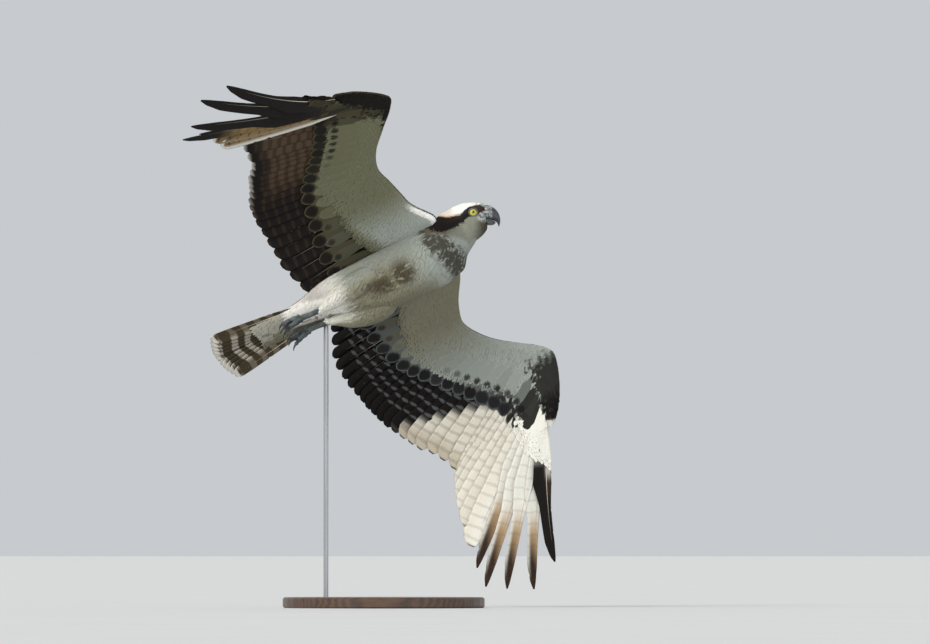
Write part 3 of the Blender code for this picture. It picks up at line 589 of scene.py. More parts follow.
def featherTip(side, order):
    order = np.asarray(order, float)
    back = wing["trailingShift"] * ramp(order, 12, 15) * (1 - ramp(order, 18, 23))
    tips = smoothTable(wing["tips"], order)
    if side < 0:
        tips = tips + smoothTable(wing["rightTips"], order)
    spot = wingPlace(side, tips) + pastLast(order) * np.array(wing["innerTipStep"]) * (1, side, 1)
    return spot - np.stack([side * back, 0 * back, 0 * back], -1)


def featherFrame(side, order):
    # root, tip, direction along, across to the trailing side, and up out of the wing, set as tilted slats
    order = np.asarray(order, float)
    root, tip = featherRoot(side, order), featherTip(side, order)
    along = unit(tip - root)
    last = wing["lastOrder"]
    low, high = np.clip(order - 1.5, 1, last), np.clip(order + 1.5, 1, last)
    high = np.maximum(high, low + 1)
    low = np.minimum(low, high - 1)
    inward = featherTip(side, high) - featherTip(side, low)
    inward = inward + featherRoot(side, high) - featherRoot(side, low)
    up = unit(np.cross(along, inward))
    up = np.where(up[..., 2:] < 0, -up, up)
    across = unit(np.cross(up, along))
    across = np.where(dot(across, inward)[..., None] < 0, -across, across)
    tilt = math.radians(wing["tilt"])
    slatAcross = across * math.cos(tilt) - up * math.sin(tilt)
    slatUp = up * math.cos(tilt) + across * math.sin(tilt)
    return root, tip, along, slatAcross, slatUp


def featherBow(side, order):
    bow = 0.006 - 0.010 * ramp(order, 12, 4)
    return bow - wing["rightFingerBow"] * ramp(order, 4, 1) if side < 0 else bow


def orderAt(across):  # which long feather stands at this place out along the wing
    roots = np.array(wing["roots"])[::-1]
    order = np.interp(across, roots[:, 2], roots[:, 0])
    inner = wing["lastOrder"] + (wing["innerEdge"] - across) / wing["innerPitch"]
    return np.where(across < wing["innerEdge"], inner, order)


def lengthShare(whole):
    return np.clip(whole / wing["usualLength"], 0.6, 1.1)


def fleshFrame(side, stations):
    rows = numbered(wing["flesh"])
    at = np.linspace(0, len(rows) - 1, stations)
    row = smoothTable(rows, at)
    front, rear = wingPlace(side, row[:, :3]), wingPlace(side, row[:, 3:6])
    further, nearer = smoothTable(rows, at + 0.2), smoothTable(rows, at - 0.2)
    further, nearer = (wingPlace(side, (spot[:, :3] + spot[:, 3:6]) / 2) for spot in (further, nearer))
    up = unit(np.cross(rear - front, further - nearer))
    return front, rear, np.where(up[:, 2:] < 0, -up, up), row[:, 6], row[:, 4]


def resample(points, count):
    gone = np.concatenate([[0], np.cumsum(np.linalg.norm(np.diff(points, axis=0), axis=1))])
    return smoothTable(np.column_stack([gone, points]), np.linspace(0, gone[-1], count))


def wingSheet(side, face):
    # one side of the wing, from row 0 at the tips of the longest coverts forwards to the leading edge
    front, rear, up, thick, across = fleshFrame(side, wing["stations"])
    order = orderAt(across)
    root, tip, along, _, lift = featherFrame(side, order)
    whole = np.linalg.norm(tip - root, axis=1)
    if face > 0:
        profile = ((0, 0.02), (0.02, 0.20), (0.07, 0.33), (0.20, 0.48), (0.42, 0.51), (0.64, 0.44))
        heights = (0.0055, 0.0046, 0.0040, 0.0036, 0.0034)
    else:
        profile = ((0, -0.02), (0.02, -0.16), (0.07, -0.27), (0.20, -0.39), (0.42, -0.44), (0.64, -0.40))
        heights = (0.0065, 0.0050, 0.0042, 0.0036, 0.0034)
    lines = []
    inset = np.maximum(thick - 0.0045, 0.004)
    for share, height in profile:
        nose = unit(rear - front) * 0.0022 * (1 - share)
        lines.append(front + nose + (rear - front) * share * 0.97 + up * (inset * height)[:, None])
    for reach, height in zip((0.030, 0.060, 0.095, 0.130, wing["longestCoverts"]), heights):
        reach = reach * lengthShare(whole)
        share = reach / whole
        bow = 4 * share * (1 - share) * featherBow(side, order)
        lines.append(root + along * reach[:, None] + lift * (bow + face * height)[:, None])
    lines = np.array(lines)
    grid = np.array([resample(lines[:, k], wing["chordSteps"]) for k in range(lines.shape[1])])
    grid = np.ascontiguousarray(grid.transpose(1, 0, 2)[::-1])
    return Surface(grid, False, lambda grid: np.array((0.0, 0.0, face)))


def fleshBody(side):  # the closed flesh of a wing, inside its feathers
    front, rear, up, thick, _ = fleshFrame(side, 50)
    profile = ((0.02, 0.0), (0.06, 0.28), (0.20, 0.45), (0.50, 0.46), (0.80, 0.34), (0.97, 0.16),
               (0.97, -0.16), (0.80, -0.34), (0.50, -0.40), (0.20, -0.35), (0.06, -0.24))
    inset = np.maximum(thick - 0.006, 0.003)
    rings = [front + (rear - front) * share + up * (inset * height)[:, None] for share, height in profile]
    return np.array(rings).transpose(1, 0, 2)


# Markings, with painted light and shade among them, one function for each part of the bird. They take
# places in the bird's own frame.
markings = {
    # along the head: the middle height and half width of the stripe through the eye
    "stripe": ((-0.110, -0.014, 0.0110), (-0.085, -0.0185, 0.0145), (-0.076, -0.0205, 0.0165),
               (-0.070, -0.0235, 0.0175), (-0.0637, -0.0290, 0.0175), (-0.0545, -0.0320, 0.0172),
               (-0.045, -0.0315, 0.0154), (-0.036, -0.0272, 0.0146), (-0.027, -0.0205, 0.0134),
               (-0.018, -0.0124, 0.0120), (-0.010, -0.0010, 0.0113), (0.000, 0.0040, 0.0115),
               (0.007, 0.0064, 0.0116), (0.0127, 0.0086, 0.0098), (0.0180, 0.0102, 0.0060),
               (0.0215, 0.0108, 0.0022), (0.026, 0.0108, -0.0030)),
    # dark smudges of the breast: middle and reach along, middle and reach across, strength
    "smudges": ((-0.032, 0.027, -0.026, 0.023, 1.0), (-0.080, 0.034, -0.022, 0.024, 0.80)),
    # under the wings: how far out a border lies, and how deep the dark patch at the wrist goes
    "leftBorder": ((-0.130, -0.097, -0.010, 0.047), (0.300, 0.328, 0.403, 0.436)),
    "rightBorder": ((-0.060, 0.019, 0.090), (0.365, 0.350, 0.300)),
    "leftPatch": ((0.30, 0.335, 0.37, 0.41, 0.45), (0.10, 0.40, 0.42, 0.34, 0.20)),
    "rightPatch": ((0.26, 0.30, 0.335, 0.37, 0.41, 0.45), (0.04, 0.12, 0.24, 0.30, 0.36, 0.42)),
}


def headTint(p):
    q = intoHead(p)
    x, z, aside = q[:, 0], q[:, 2], np.abs(q[:, 1])
    rough, fine = cloud(q, 260, 1), cloud(q, 700, 2)
    stripe = np.array(markings["stripe"])
    middle, half = np.interp(x, stripe[:, 0], stripe[:, 1]), np.interp(x, stripe[:, 0], stripe[:, 2])
    edge = half + 0.0010 * rough
    low = ramp(z, middle - edge - 0.0014, middle - edge + 0.0014)
    high = 1 - ramp(z, middle + edge - 0.0014, middle + edge + 0.0014)
    dark = low * high * np.where(x < 0.004, 1, ramp(aside, 0.005, 0.009))
    above = ramp(z, middle, middle + 0.006)
    # painted shade: under the stripe the side of the head darkens towards moss, more so further back
    shadeBelowStripe = 0.55 * ramp(z, -0.062, -0.036) * ramp(x, -0.008, -0.040)
    ground = blend(blend(colours["throat"], colours["moss"], shadeBelowStripe), colours["crown"], above)
    forehead = ramp(x, -0.008, 0.004) * ramp(z, middle + half, middle + half + 0.003)
    ground = blend(ground, colours["smoke"], 0.60 * forehead * ramp(rough + 0.6 * fine, -0.3, 0.6))
    ground = blend(ground, colours["cream"], 0.6 * above * ramp(x, -0.030, -0.045))
    glow = ramp(z, middle + half + 0.008, middle + half - 0.001) * ramp(x, -0.012, -0.040) * above
    ground = blend(ground, colours["buff"], 0.95 * glow)
    fringe = ramp(z, middle + half + 0.003, middle + half) * ramp(x, -0.030, -0.045)
    ground = blend(ground, colours["brown"], 0.6 * fringe)
    ground = blend(ground, colours["brown"], above * ramp(x, -0.060, -0.070))
    # the pale grey of the lores is partly painted highlight
    lores = blend(colours["lores"], colours["gape"], ramp(rough + 0.5 * fine, -0.4, 0.8))
    ground = blend(ground, lores, ramp(x, 0.008, 0.015) * ramp(z, -0.016, -0.010))
    # a painted shadow under the bill darkens the chin to umber
    shadowUnderBill = ramp(x + 0.003 * rough, 0.002, 0.024) * ramp(z + 0.002 * fine, -0.0130, -0.0180)
    ground = blend(ground, colours["umber"], 0.80 * shadowUnderBill)
    streaks = ramp(np.sin(x * 900 + 4 * rough) * 0.5 + rough, 0.5, 1.0)
    ground = blend(ground, colours["smoke"], 0.35 * streaks * (1 - above) * ramp(z, -0.022, -0.034))
    return blend(ground, blend(colours["umber"], colours["black"], ramp(x, 0.012, -0.006)), 0.98 * dark)


def bodyTint(p, normal):
    x, y, down = p[:, 0], p[:, 1], -normal[:, 2]
    rough, fine = cloud(p, 120, 3), cloud(p, 420, 4)
    streak = cloud(p * np.array((0.16, 1.0, 1.0)), 260, 9)
    # painted shade: the white underparts are darkened, more towards the rear, on the left side and under
    # the tail; the moss streaks are partly painted shade
    under = blend(colours["lining"], colours["shade"], ramp(x, 0.040, -0.060))
    under = blend(under, colours["moss"], 0.55 * ramp(x, -0.030, -0.090) * ramp(streak, -0.1, 0.9))
    shadow = ramp(y + 0.010 * streak, -0.012, 0.030) * ramp(x, 0.030, -0.010)
    under = blend(under, colours["shade"] * 0.66, 0.85 * shadow)
    under = blend(under, colours["lining"], 0.80 * ramp(-y + 0.006 * streak, 0.040, 0.060))
    # a painted pool of sunlight: the white rear flank and vent stay brightest white here, in streaks
    sunlitPatch = ramp(x + 0.015 * streak, -0.135, -0.195) * ramp(y + 0.006 * streak, 0.022, 0.004)
    under = blend(under, colours["crown"], 0.97 * sunlitPatch * ramp(streak, -1.2, -0.5))
    under = blend(under, colours["moss"], 0.75 * ramp(x, -0.170, -0.225) * ramp(streak + 35 * y, 0.0, 0.8))
    under = blend(under, colours["brown"], 0.50 * ramp(x, -0.150, -0.215) * ramp(-y, 0.026, 0.036))
    under = blend(under, colours["shade"] * 0.65, 0.75 * ramp(x + 0.01 * streak, -0.275, -0.300))
    smudge = np.max([strength * np.exp(-((x - midX) / farX) ** 2 - ((y - midY) / farY) ** 2)
                     for midX, farX, midY, farY, strength in markings["smudges"]], 0)
    smudge = smudge * ramp(down, 0.1, 0.5) * ramp(rough + 0.8 * streak, -1.3, -0.1)
    sooty = blend(colours["brown"], colours["moss"], 0.7) * 0.72
    under = blend(under, sooty, 0.88 * ramp(smudge, 0.06, 0.80))
    flank = np.exp(-((x + 0.075) / 0.070) ** 2) * ramp(np.abs(y), 0.030, 0.055) * ramp(fine, -0.2, 0.8)
    under = blend(under, colours["smoke"], 0.35 * flank)
    band = np.exp(-((x - 0.056 + 4.0 * (y - 0.010) ** 2) / 0.017) ** 2) * ramp(down, -0.45, -0.10)
    band = ramp(band * (0.85 + 0.8 * cloud(p, 200, 6) + 0.3 * fine), 0.06, 0.68)
    under = blend(under, blend(colours["black"], colours["moss"], 0.45), 0.88 * band)
    back = blend(colours["brown"], colours["umber"], 0.5 + 0.5 * rough)
    return blend(under, back, ramp(-down, 0.18, 0.42))


def coatTint(p, normal):
    q = intoHead(p)
    share = ramp(q[:, 0] + 0.25 * q[:, 2], -0.094, -0.084) * ramp(q[:, 2], -0.058, -0.048)
    nape = ramp(normal[:, 2], 0.55, 0.85) * (1 - share) * ramp(p[:, 0], 0.040, 0.060)
    return blend(blend(bodyTint(p, normal), colours["umber"], nape), headTint(p), share)


def bodyFeather(p, normal, spots, s, t):
    tint = coatTint(p, normal) * (1 + 0.035 * rng.standard_normal(len(p)))[:, None]
    edge = ramp(s, 0.72, 1.0)[None, :, None]
    full = tint[:, None] * (1 - edge) + tint[:, None] * 1.06 * edge  # a paler tip
    shaft = 1 - 0.04 * np.exp(-(t / 0.3) ** 2)
    full = full * shaft[None, :, None] * (0.95 + 0.05 * ramp(s, 0.1, 0.6))[None, :, None]
    return full, full, vanes["noBars"]


def liningTint(side, p, share):
    # under side of the wing: share runs 0 at the leading edge to 1 at the coverts' tips
    rough, fine = cloud(p, 130, 5 + side), cloud(p, 420, 8)
    x, out = p[:, 0], np.abs(p[:, 1])
    # painted shade: the left lining darkens towards the body and the right lining turns olive
    if side > 0:
        tint = blend(colours["shade"] * 0.72, colours["lining"], ramp(out, 0.16, 0.30))
    else:
        paintedShade = np.maximum(ramp(out, 0.07, 0.16), ramp(share, 0.6, 0.8))
        tint = blend(colours["lining"], colours["shadedOlive"], paintedShade)
    rear = ramp(share + 0.05 * rough, 0.76, 0.90) * ramp(out, 0.19, 0.13)
    tint = blend(tint, colours["black"], 0.60 * rear)
    tint = blend(tint, colours["smoke"], 0.20 * ramp(rough + 0.6 * fine, 0.2, 1.0))
    if side > 0:  # white beyond a slanting border, dark mottling along it
        beyond = out - np.interp(x, *markings["leftBorder"]) + 0.003 * rough
        onHand = ramp(beyond, -0.003, 0.003)
        mottle = ramp(beyond, -0.058, -0.030) * ramp(x, -0.110, -0.060)
        tint = blend(tint, colours["black"], 0.95 * mottle * ramp(0.6 * rough + fine, -0.85, -0.15))
        tint = blend(tint, colours["white"], onHand)
        tint = blend(tint, colours["brown"], 0.7 * onHand * ramp(rough + fine, 1.0, 1.3))
        patch = ramp(out + 0.010 * rough + 0.006 * fine, 0.322, 0.345) * (1 - onHand)
        depth = np.interp(out, *markings["leftPatch"])
    else:  # a dark hand, partly painted shade, and a white shoulder painted as highlight
        # painted shade over a real dark carpal: the right hand is darkened to moss and black
        beyond = out - np.interp(x, *markings["rightBorder"]) + 0.012 * rough + 0.006 * fine
        dusk = blend(colours["moss"], colours["black"], 0.85 * ramp(rough + fine, -0.4, 0.5))
        tint = blend(tint, dusk, 0.95 * ramp(beyond, -0.012, 0.012))
        # painted highlight: the sunlit leading edge at the shoulder is painted the brightest white
        shoulder = (1 - ramp(out, 0.095, 0.120)) * (1 - ramp(share, 0.045, 0.085))
        tint = blend(tint, colours["crown"], shoulder)
        patch = ramp(out + 0.008 * rough, 0.275, 0.300)
        depth = np.interp(out, *markings["rightPatch"])
    patch = patch * ramp(depth + 0.10 * rough + 0.08 * fine - share, -0.03, 0.05)  # dark at the wrist
    return blend(tint, colours["black"], 0.94 * patch)


# One skin under all the feathers: body, thighs and wing flesh in one closed surface
leg = {
    "thigh": ((-0.080, 0.032, -0.022, 0.020), (-0.125, 0.037, -0.034, 0.0245),
              (-0.170, 0.030, -0.038, 0.0200), (-0.200, 0.020, -0.038, 0.0120),
              (-0.214, 0.0165, -0.037, 0.0085)),
    "tarsus": ((-0.2110, 0.0168, -0.037, 0.0060), (-0.238, 0.0155, -0.036, 0.0049),
               (-0.263, 0.0155, -0.035, 0.0056)),
    "toeLength": 0.037, "toeRadius": 0.0046, "clawLength": 0.021, "clawRadius": 0.0026, "clawSink": 0.0030,
    "toes": ((-0.0065, (-1.0, -0.10, 0.02), 0.50), (0.0, (-1.0, 0.02, 0.05), 0.50),
             (0.0065, (-1.0, 0.22, 0.0), 0.55),
             (0.0010, (-0.75, 0.05, -0.7), -0.60)),  # place, aim and curl
    "skinDepth": 0.0028, "coatDepth": 0.0026, "footVoxel": 0.0008,
    "shankSteps": 40, "toeSteps": 36, "clawSteps": 22, "coatSides": 48,
}


def tubeRings(rows, sides, squash=1.0):
    rows = np.asarray(rows, float)
    spots, radius = rows[:, :3], rows[:, 3]
    ahead = unit(np.gradient(spots, axis=0))
    across = unit(np.cross(ahead, (0.0, 0.0, 1.0)))
    up = unit(np.cross(across, ahead))
    return ovalRings(spots, across, up, radius, radius * squash, radius * squash, sides)


def mirrored(rings, side):
    return rings * np.array((1.0, side, 1.0))


def closedFaces(rings, sides, start=0):
    ids = start + np.arange(rings * sides).reshape(rings, sides)
    a, b = ids[:-1], np.roll(ids[:-1], -1, 1)
    c, d = np.roll(ids[1:], -1, 1), ids[1:]
    quads = np.stack([a, b, c, d], -1).reshape(-1, 4)
    caps = []
    for row in (ids[0], ids[-1][::-1]):  # a cap of quads folded from the middle of the ring
        half = sides // 2
        for k in range(half - 1):
            caps.append((row[k], row[sides - 1 - k], row[sides - 2 - k], row[k + 1]))
    return np.concatenate([quads, np.array(caps)])


def ringMesh(name, groups, material):
    points, faces, start = [], [], 0
    for rings in groups:
        points.append(rings.reshape(-1, 3))
        faces.append(closedFaces(rings.shape[0], rings.shape[1], start))
        start += rings.shape[0] * rings.shape[1]
    piece = meshPiece(name, np.concatenate(points), np.concatenate(faces), material)
    turnOut(piece)
    return piece


def turnOut(piece):
    work = bmesh.new()
    work.from_mesh(piece.data)
    bmesh.ops.recalc_face_normals(work, faces=work.faces)
    work.to_mesh(piece.data)
    work.free()
    piece.data.shade_smooth()


def remeshed(piece, voxel, smooth, material):
    remesh = piece.modifiers.new("shape", "REMESH")
    remesh.mode, remesh.voxel_size, remesh.use_smooth_shade = "VOXEL", voxel, True
    soften = piece.modifiers.new("soften", "SMOOTH")
    soften.factor, soften.iterations = 0.5, smooth
    shaped = piece.evaluated_get(bpy.context.evaluated_depsgraph_get())
    made = bpy.data.meshes.new_from_object(shaped)
    piece.modifiers.clear()
    piece.data = made
    made.shade_smooth()
    made.materials.clear()
    made.materials.append(material)


def pointsOf(piece):  # a piece's points back in the bird's frame, with their normals
    count = len(piece.data.vertices)
    spots, normals = np.empty(count * 3, np.float32), np.empty(count * 3, np.float32)
    piece.data.vertices.foreach_get("co", spots)
    piece.data.vertices.foreach_get("normal", normals)
    spots = (spots.reshape(-1, 3).astype(float) - birdOrigin) @ birdTurn
    return spots, normals.reshape(-1, 3).astype(float) @ birdTurn


thighRows = smoothTable(numbered(leg["thigh"]), np.linspace(0, len(leg["thigh"]) - 1, 40))


def evenRing(rings):  # puts one more point in each ring, so that its caps fold into quads
    return np.concatenate([rings, (rings[:, -1:] + rings[:, :1]) / 2], 1)


def makeSkin():
    thin = thighRows.copy()
    thin[:, 3] -= leg["skinDepth"]
    groups = [outerBody.grid - outerBody.normal * body["skinDepth"]]
    groups += [mirrored(tubeRings(thin, 24), side) for side in (1, -1)]
    groups += [evenRing(fleshBody(side)) for side in (1, -1)]
    skin = ringMesh("skin", groups, finishes["skin"])
    remeshed(skin, body["skinVoxel"], 2, finishes["skin"])
    spots, normals = pointsOf(skin)
    onWing = ramp(np.abs(spots[:, 1]), 0.064, 0.080)
    share = np.full(len(spots), 0.5)
    lining = np.where(spots[:, 1:2] > 0, liningTint(1, spots, share), liningTint(-1, spots, share))
    below = blend(colours["umber"], lining, ramp(-normals[:, 2], -0.1, 0.2))
    tint = blend(coatTint(spots, normals), below, onWing) * 0.85
    flat = np.tile(vanes["noBars"], (len(spots), 1))
    dressMesh(skin.data, {"tint": tint, "mark": tint, "vane": flat, "barb": spots})
    settle(skin, "plumage", "torso", "neck", "head", "thigh_left", "thigh_right")


# The coat of the body, laid on a surface that runs on over the root of the tail
coat = {
    "tailRows": 27,
    "tailLay": ((-0.2363, -0.005, 0.0405, 0.0157, 0.0167), (-0.252, -0.0055, 0.036, 0.0125, 0.0140),
                (-0.280, -0.0075, 0.032, 0.0078, 0.0098), (-0.310, -0.0095, 0.033, 0.0064, 0.0088),
                (-0.345, -0.0120, 0.035, 0.0058, 0.0080)),
    # piece, node, first and last row, spacing, length, half width, height of the tip, steps along
    "pieces": (("coat_rump", "torso", 2, 30, 0.0052, 0.028, 0.0050, 0.0012, 5),
               ("coat_trunk", "torso", 30, 62, 0.0044, 0.021, 0.0044, 0.0011, 4),
               ("coat_breast", "torso", 62, 91, 0.0040, 0.018, 0.0040, 0.0010, 4),
               ("coat_neck", "head", 91, 122, 0.0029, 0.012, 0.0028, 0.0009, 4),
               ("coat_head", "head", 122, 156.6, 0.0019, 0.0066, 0.0017, 0.0007, 4)),
    "sink": -0.0004, "smallTurn": 0.05, "eyeRootGap": 0.0094, "eyeTipGap": 0.0084,
}


def layBodySurface():
    tail = levelRings(coat["tailLay"], np.linspace(4, 0, coat["tailRows"]), body["sides"])
    grid = np.concatenate([tail[:-1], outerBody.grid[body["tailRows"] - 1:]])
    depth = body["skinDepth"] * np.linspace(0.6, 1, len(grid))[:, None, None] ** 0.5
    return Surface(grid - Surface(grid, True, fromMiddle).normal * depth, True, fromMiddle)


def uvOn(columns, rows):
    return lambda spots: (0.02 + 0.96 * spots[:, 1] / columns, 0.02 + 0.96 * spots[:, 0] / rows)


layBody = layBodySurface()
bodyUv = uvOn(body["sides"], len(layBody.grid) - 1)


def eyeGap(p):  # how far a place is from the middle of the nearer eye's rim
    q = intoHead(p)
    q[:, 1] = np.abs(q[:, 1])
    return np.linalg.norm(q - np.array(face["eyeRim"]), axis=1)


def makeBodyCoat():
    for name, node, first, last, gap, length, half, rise, rows in coat["pieces"]:
        heap = Heap()
        spots = layBody.roots(first, last, lambda row: gap)
        p = layBody.at(layBody.grid, spots[:, 0], spots[:, 1])
        front = ramp(intoHead(p)[:, 0], -0.010, 0.020) if name == "coat_head" else np.zeros(len(p))
        tips = p - headTurn[:, 0] * length * 0.75
        clear = (eyeGap(p) > coat["eyeRootGap"]) & (eyeGap(tips) > coat["eyeTipGap"])
        spots, front = spots[clear], front[clear]
        long = length * (1 - 0.40 * front) * rng.uniform(0.85, 1.15, len(spots))
        wide = half * (1 - 0.30 * front)
        tall = rise * rng.uniform(0.9, 1.1, len(spots))
        layOn(heap, layBody, spots, long, wide, coat["sink"], tall, bodyFeather, bodyUv,
              turn=rng.normal(0, coat["smallTurn"], len(spots)), rows=rows)
        settle(heap.piece(name, finishes["coat"]), "plumage", node)


# Wing coverts, laid on a sheet for each side of each wing
coverts = {
    # first and last order, step, reach past the flesh, length, half width, heights of root and tip
    "greater": (30.6, 9.0, 1.42, 0.030, 0.090, 0.0128, 0.0002, 0.0014),
    "hand": (9.0, 1.6, 0.95, 0.028, 0.084, 0.0100, 0.0002, 0.0014),
    "middle": (30.9, 2.0, 1.30, 0.018, 0.075, 0.0115, 0.0006, 0.0016),
    "upper": ((30.8, 9.2, 1.15, 0.040, 0.096, 0.0135, 0.0004, 0.0016),
              (9.0, 1.4, 0.95, 0.036, 0.082, 0.0105, 0.0004, 0.0016),
              (31.0, 1.6, 1.20, 0.018, 0.070, 0.0125, 0.0014, 0.0026),
              (31.2, 1.6, 1.05, 0.004, 0.056, 0.0110, 0.0020, 0.0032)),
    "thickness": 0.0005, "lastRow": 79.4,
    # rows on the sheet, with the spacing and length of the small feathers there
    "lining": ((22, 50, 79), (0.0080, 0.0060, 0.0036), (0.026, 0.020, 0.0090)),
    "back": ((38, 55, 79), (0.0084, 0.0064, 0.0038), (0.028, 0.020, 0.0090)),
}


class Sheet:
    def __init__(self, side, face):
        self.lay = wingSheet(side, face)
        self.order = orderAt(fleshFrame(side, wing["stations"])[4])
        whole = np.linalg.norm(featherTip(side, self.order) - featherRoot(side, self.order), axis=1)
        self.reachMost = wing["longestCoverts"] * lengthShare(whole)
        self.step = np.linalg.norm(np.diff(self.lay.grid, axis=0), axis=-1).mean(0)
        self.uv = uvOn(wing["stations"], wing["chordSteps"])

    def orderOf(self, spots):
        return np.interp(spots[:, 1], np.arange(len(self.order)), self.order)

    def spots(self, orders, reach):
        stations = np.arange(len(self.order))
        column = np.interp(-orders, -self.order, stations)
        most, step = np.interp(column, stations, self.reachMost), np.interp(column, stations, self.step)
        return np.stack([(most - reach * most / wing["longestCoverts"]) / step, column], -1)

    def smallSpots(self, rows, spacing):
        return self.lay.roots(rows[0], coverts["lastRow"], lambda row: np.interp(row, rows, spacing))

    def layRow(self, heap, row, tintOf, rows, columns, arch, outline=vanes["small"]):
        first, last, step, reach, length, half, base, rise = row
        spots = self.spots(np.arange(first, last, -step), reach)
        layOn(heap, self.lay, spots, length, half, base, rise, tintOf, self.uv, rows=rows, columns=columns,
              arch=arch, outline=outline, thickness=coverts["thickness"])


def darkOval(s, t, centre, long, wide):
    return 1 - ramp(((s - centre) / long) ** 2 + (t / wide) ** 2, 0.55, 1.15)


def makeUnderCoverts(side):
    label = nameOf(side)
    sheet = Sheet(side, -1)

    def ovalTint(size, strength, dusk):
        def tintOf(p, normal, spots, s, t):
            order = sheet.orderOf(spots)
            # painted shade: the ground between the ovals turns blue-grey on the left wing and moss on the
            # right
            paintedShade = colours["shadeSlate"] if side > 0 else colours["moss"]
            ground = blend(liningTint(side, p, np.full(len(p), 0.9)), paintedShade, dusk * ramp(order, 9, 12))
            spot = darkOval(s, t, 0.845, 0.165 * size, 0.96 * size)
            power = strength(order) * rng.uniform(0.88, 1.0, len(p))
            full = blend(ground[:, None], colours["black"], spot[None] * power[:, None])
            return full, full, vanes["noBars"]
        return tintOf

    def handStrength(order):
        # the right hand's ovals are darker, partly as painted shade
        return (0.25 if side > 0 else 0.85) * ramp(order, 3.0, 8.5)

    def middleStrength(order):
        return 0.95 * np.maximum(ramp(order, 21, 16) * ramp(order, 6.5, 8.5), 0.8 * ramp(order, 25, 28))

    heap = Heap()
    greaterTint = ovalTint(1.0, lambda order: np.full(len(order), 0.97), 0.80)
    sheet.layRow(heap, coverts["greater"], greaterTint, 22, 11, 0.04, vanes["covert"])
    sheet.layRow(heap, coverts["hand"], ovalTint(0.8, handStrength, 0.5), 18, 9, 0.04)
    sheet.layRow(heap, coverts["middle"], ovalTint(0.66, middleStrength, 0.15), 18, 9, 0.03)
    settle(heap.piece(f"under_coverts_{label}", finishes["coat"]), "plumage", f"wing_arm_{label}")

    def smallTint(p, normal, spots, s, t):
        share = 1 - (spots[:, 0] - 30) / 50
        tint = liningTint(side, p, share) * (1 + 0.03 * rng.standard_normal(len(p)))[:, None]
        full = tint[:, None] * (0.97 + 0.05 * ramp(s, 0.4, 1.0))[None, :, None]
        return full, full, vanes["noBars"]

    heap = Heap()
    rows, spacing, lengths = coverts["lining"]
    spots = sheet.smallSpots(rows, spacing)
    # the small feathers end where the ovals of the coverts begin
    first = np.interp(sheet.orderOf(spots), (8, 12), (36, 37)) + rng.uniform(-1, 1, len(spots))
    spots = spots[(spots[:, 1] < wing["stations"] - 1.5) & (spots[:, 0] > first)]
    size = np.interp(spots[:, 0], rows, lengths) * rng.uniform(0.9, 1.1, len(spots))
    size = size * (1 - 0.5 * ramp(spots[:, 1], 88, 109))
    rise = 0.0021 - 0.0010 * ramp(spots[:, 0], 36, 60)
    layOn(heap, sheet.lay, spots, size, size * 0.29, 0.0, rise, smallTint, sheet.uv,
          turn=rng.normal(0, 0.05, len(spots)), rows=4)
    settle(heap.piece(f"lining_{label}", finishes["coat"]), "plumage", f"wing_arm_{label}")


def makeUpperCoverts(side):
    label = nameOf(side)
    sheet = Sheet(side, 1)

    def brownTint(p, normal, spots, s, t):
        tint = blend(colours["brown"], colours["umber"], 0.55 + 0.35 * cloud(p, 110, 12))
        tint = tint * (1 + 0.10 * rng.standard_normal(len(p)))[:, None]
        full = tint[:, None] * (0.85 + 0.15 * ramp(np.abs(t), 0.0, 0.5))[None, :, None]
        full = blend(full, colours["buff"], 0.22 * ramp(s, 0.90, 1.0)[None])
        # painted highlight: sunlit white along the leading edge at the shoulder
        shoulder = ramp(spots[:, 0], 76.5, 78.5) * ramp(np.abs(p[:, 1]), 0.30, 0.22)
        full = blend(full, colours["white"], 0.9 * shoulder[:, None])
        return full, full, vanes["noBars"]

    heap = Heap()
    for row in coverts["upper"]:
        sheet.layRow(heap, row, brownTint, 14, 7, 0.10)
    rows, spacing, lengths = coverts["back"]
    spots = sheet.smallSpots(rows, spacing)
    spots = spots[spots[:, 1] < wing["stations"] - 1.5]
    size = np.interp(spots[:, 0], rows, lengths) * rng.uniform(0.85, 1.15, len(spots))
    rise = 0.0024 - 0.0010 * ramp(spots[:, 0], 40, 78)
    layOn(heap, sheet.lay, spots, size, size * 0.27, -0.0004, rise, brownTint, sheet.uv,
          turn=rng.normal(0, 0.08, len(spots)), rows=4)
    settle(heap.piece(f"upper_coverts_{label}", finishes["coat"]), "plumage", f"wing_arm_{label}")


# Flight feathers
flight = {
    "count": 32, "rows": 64, "columns": 13, "thickness": 0.0005,
    "shaftRadius": 0.0012, "shaftRows": 30, "shaftSides": 6, "splits": 5,
    # half widths ahead of the shaft and behind it
    "fingers": (0.010, 0.028), "hand": (0.014, 0.030), "arm": (0.012, 0.024),
}


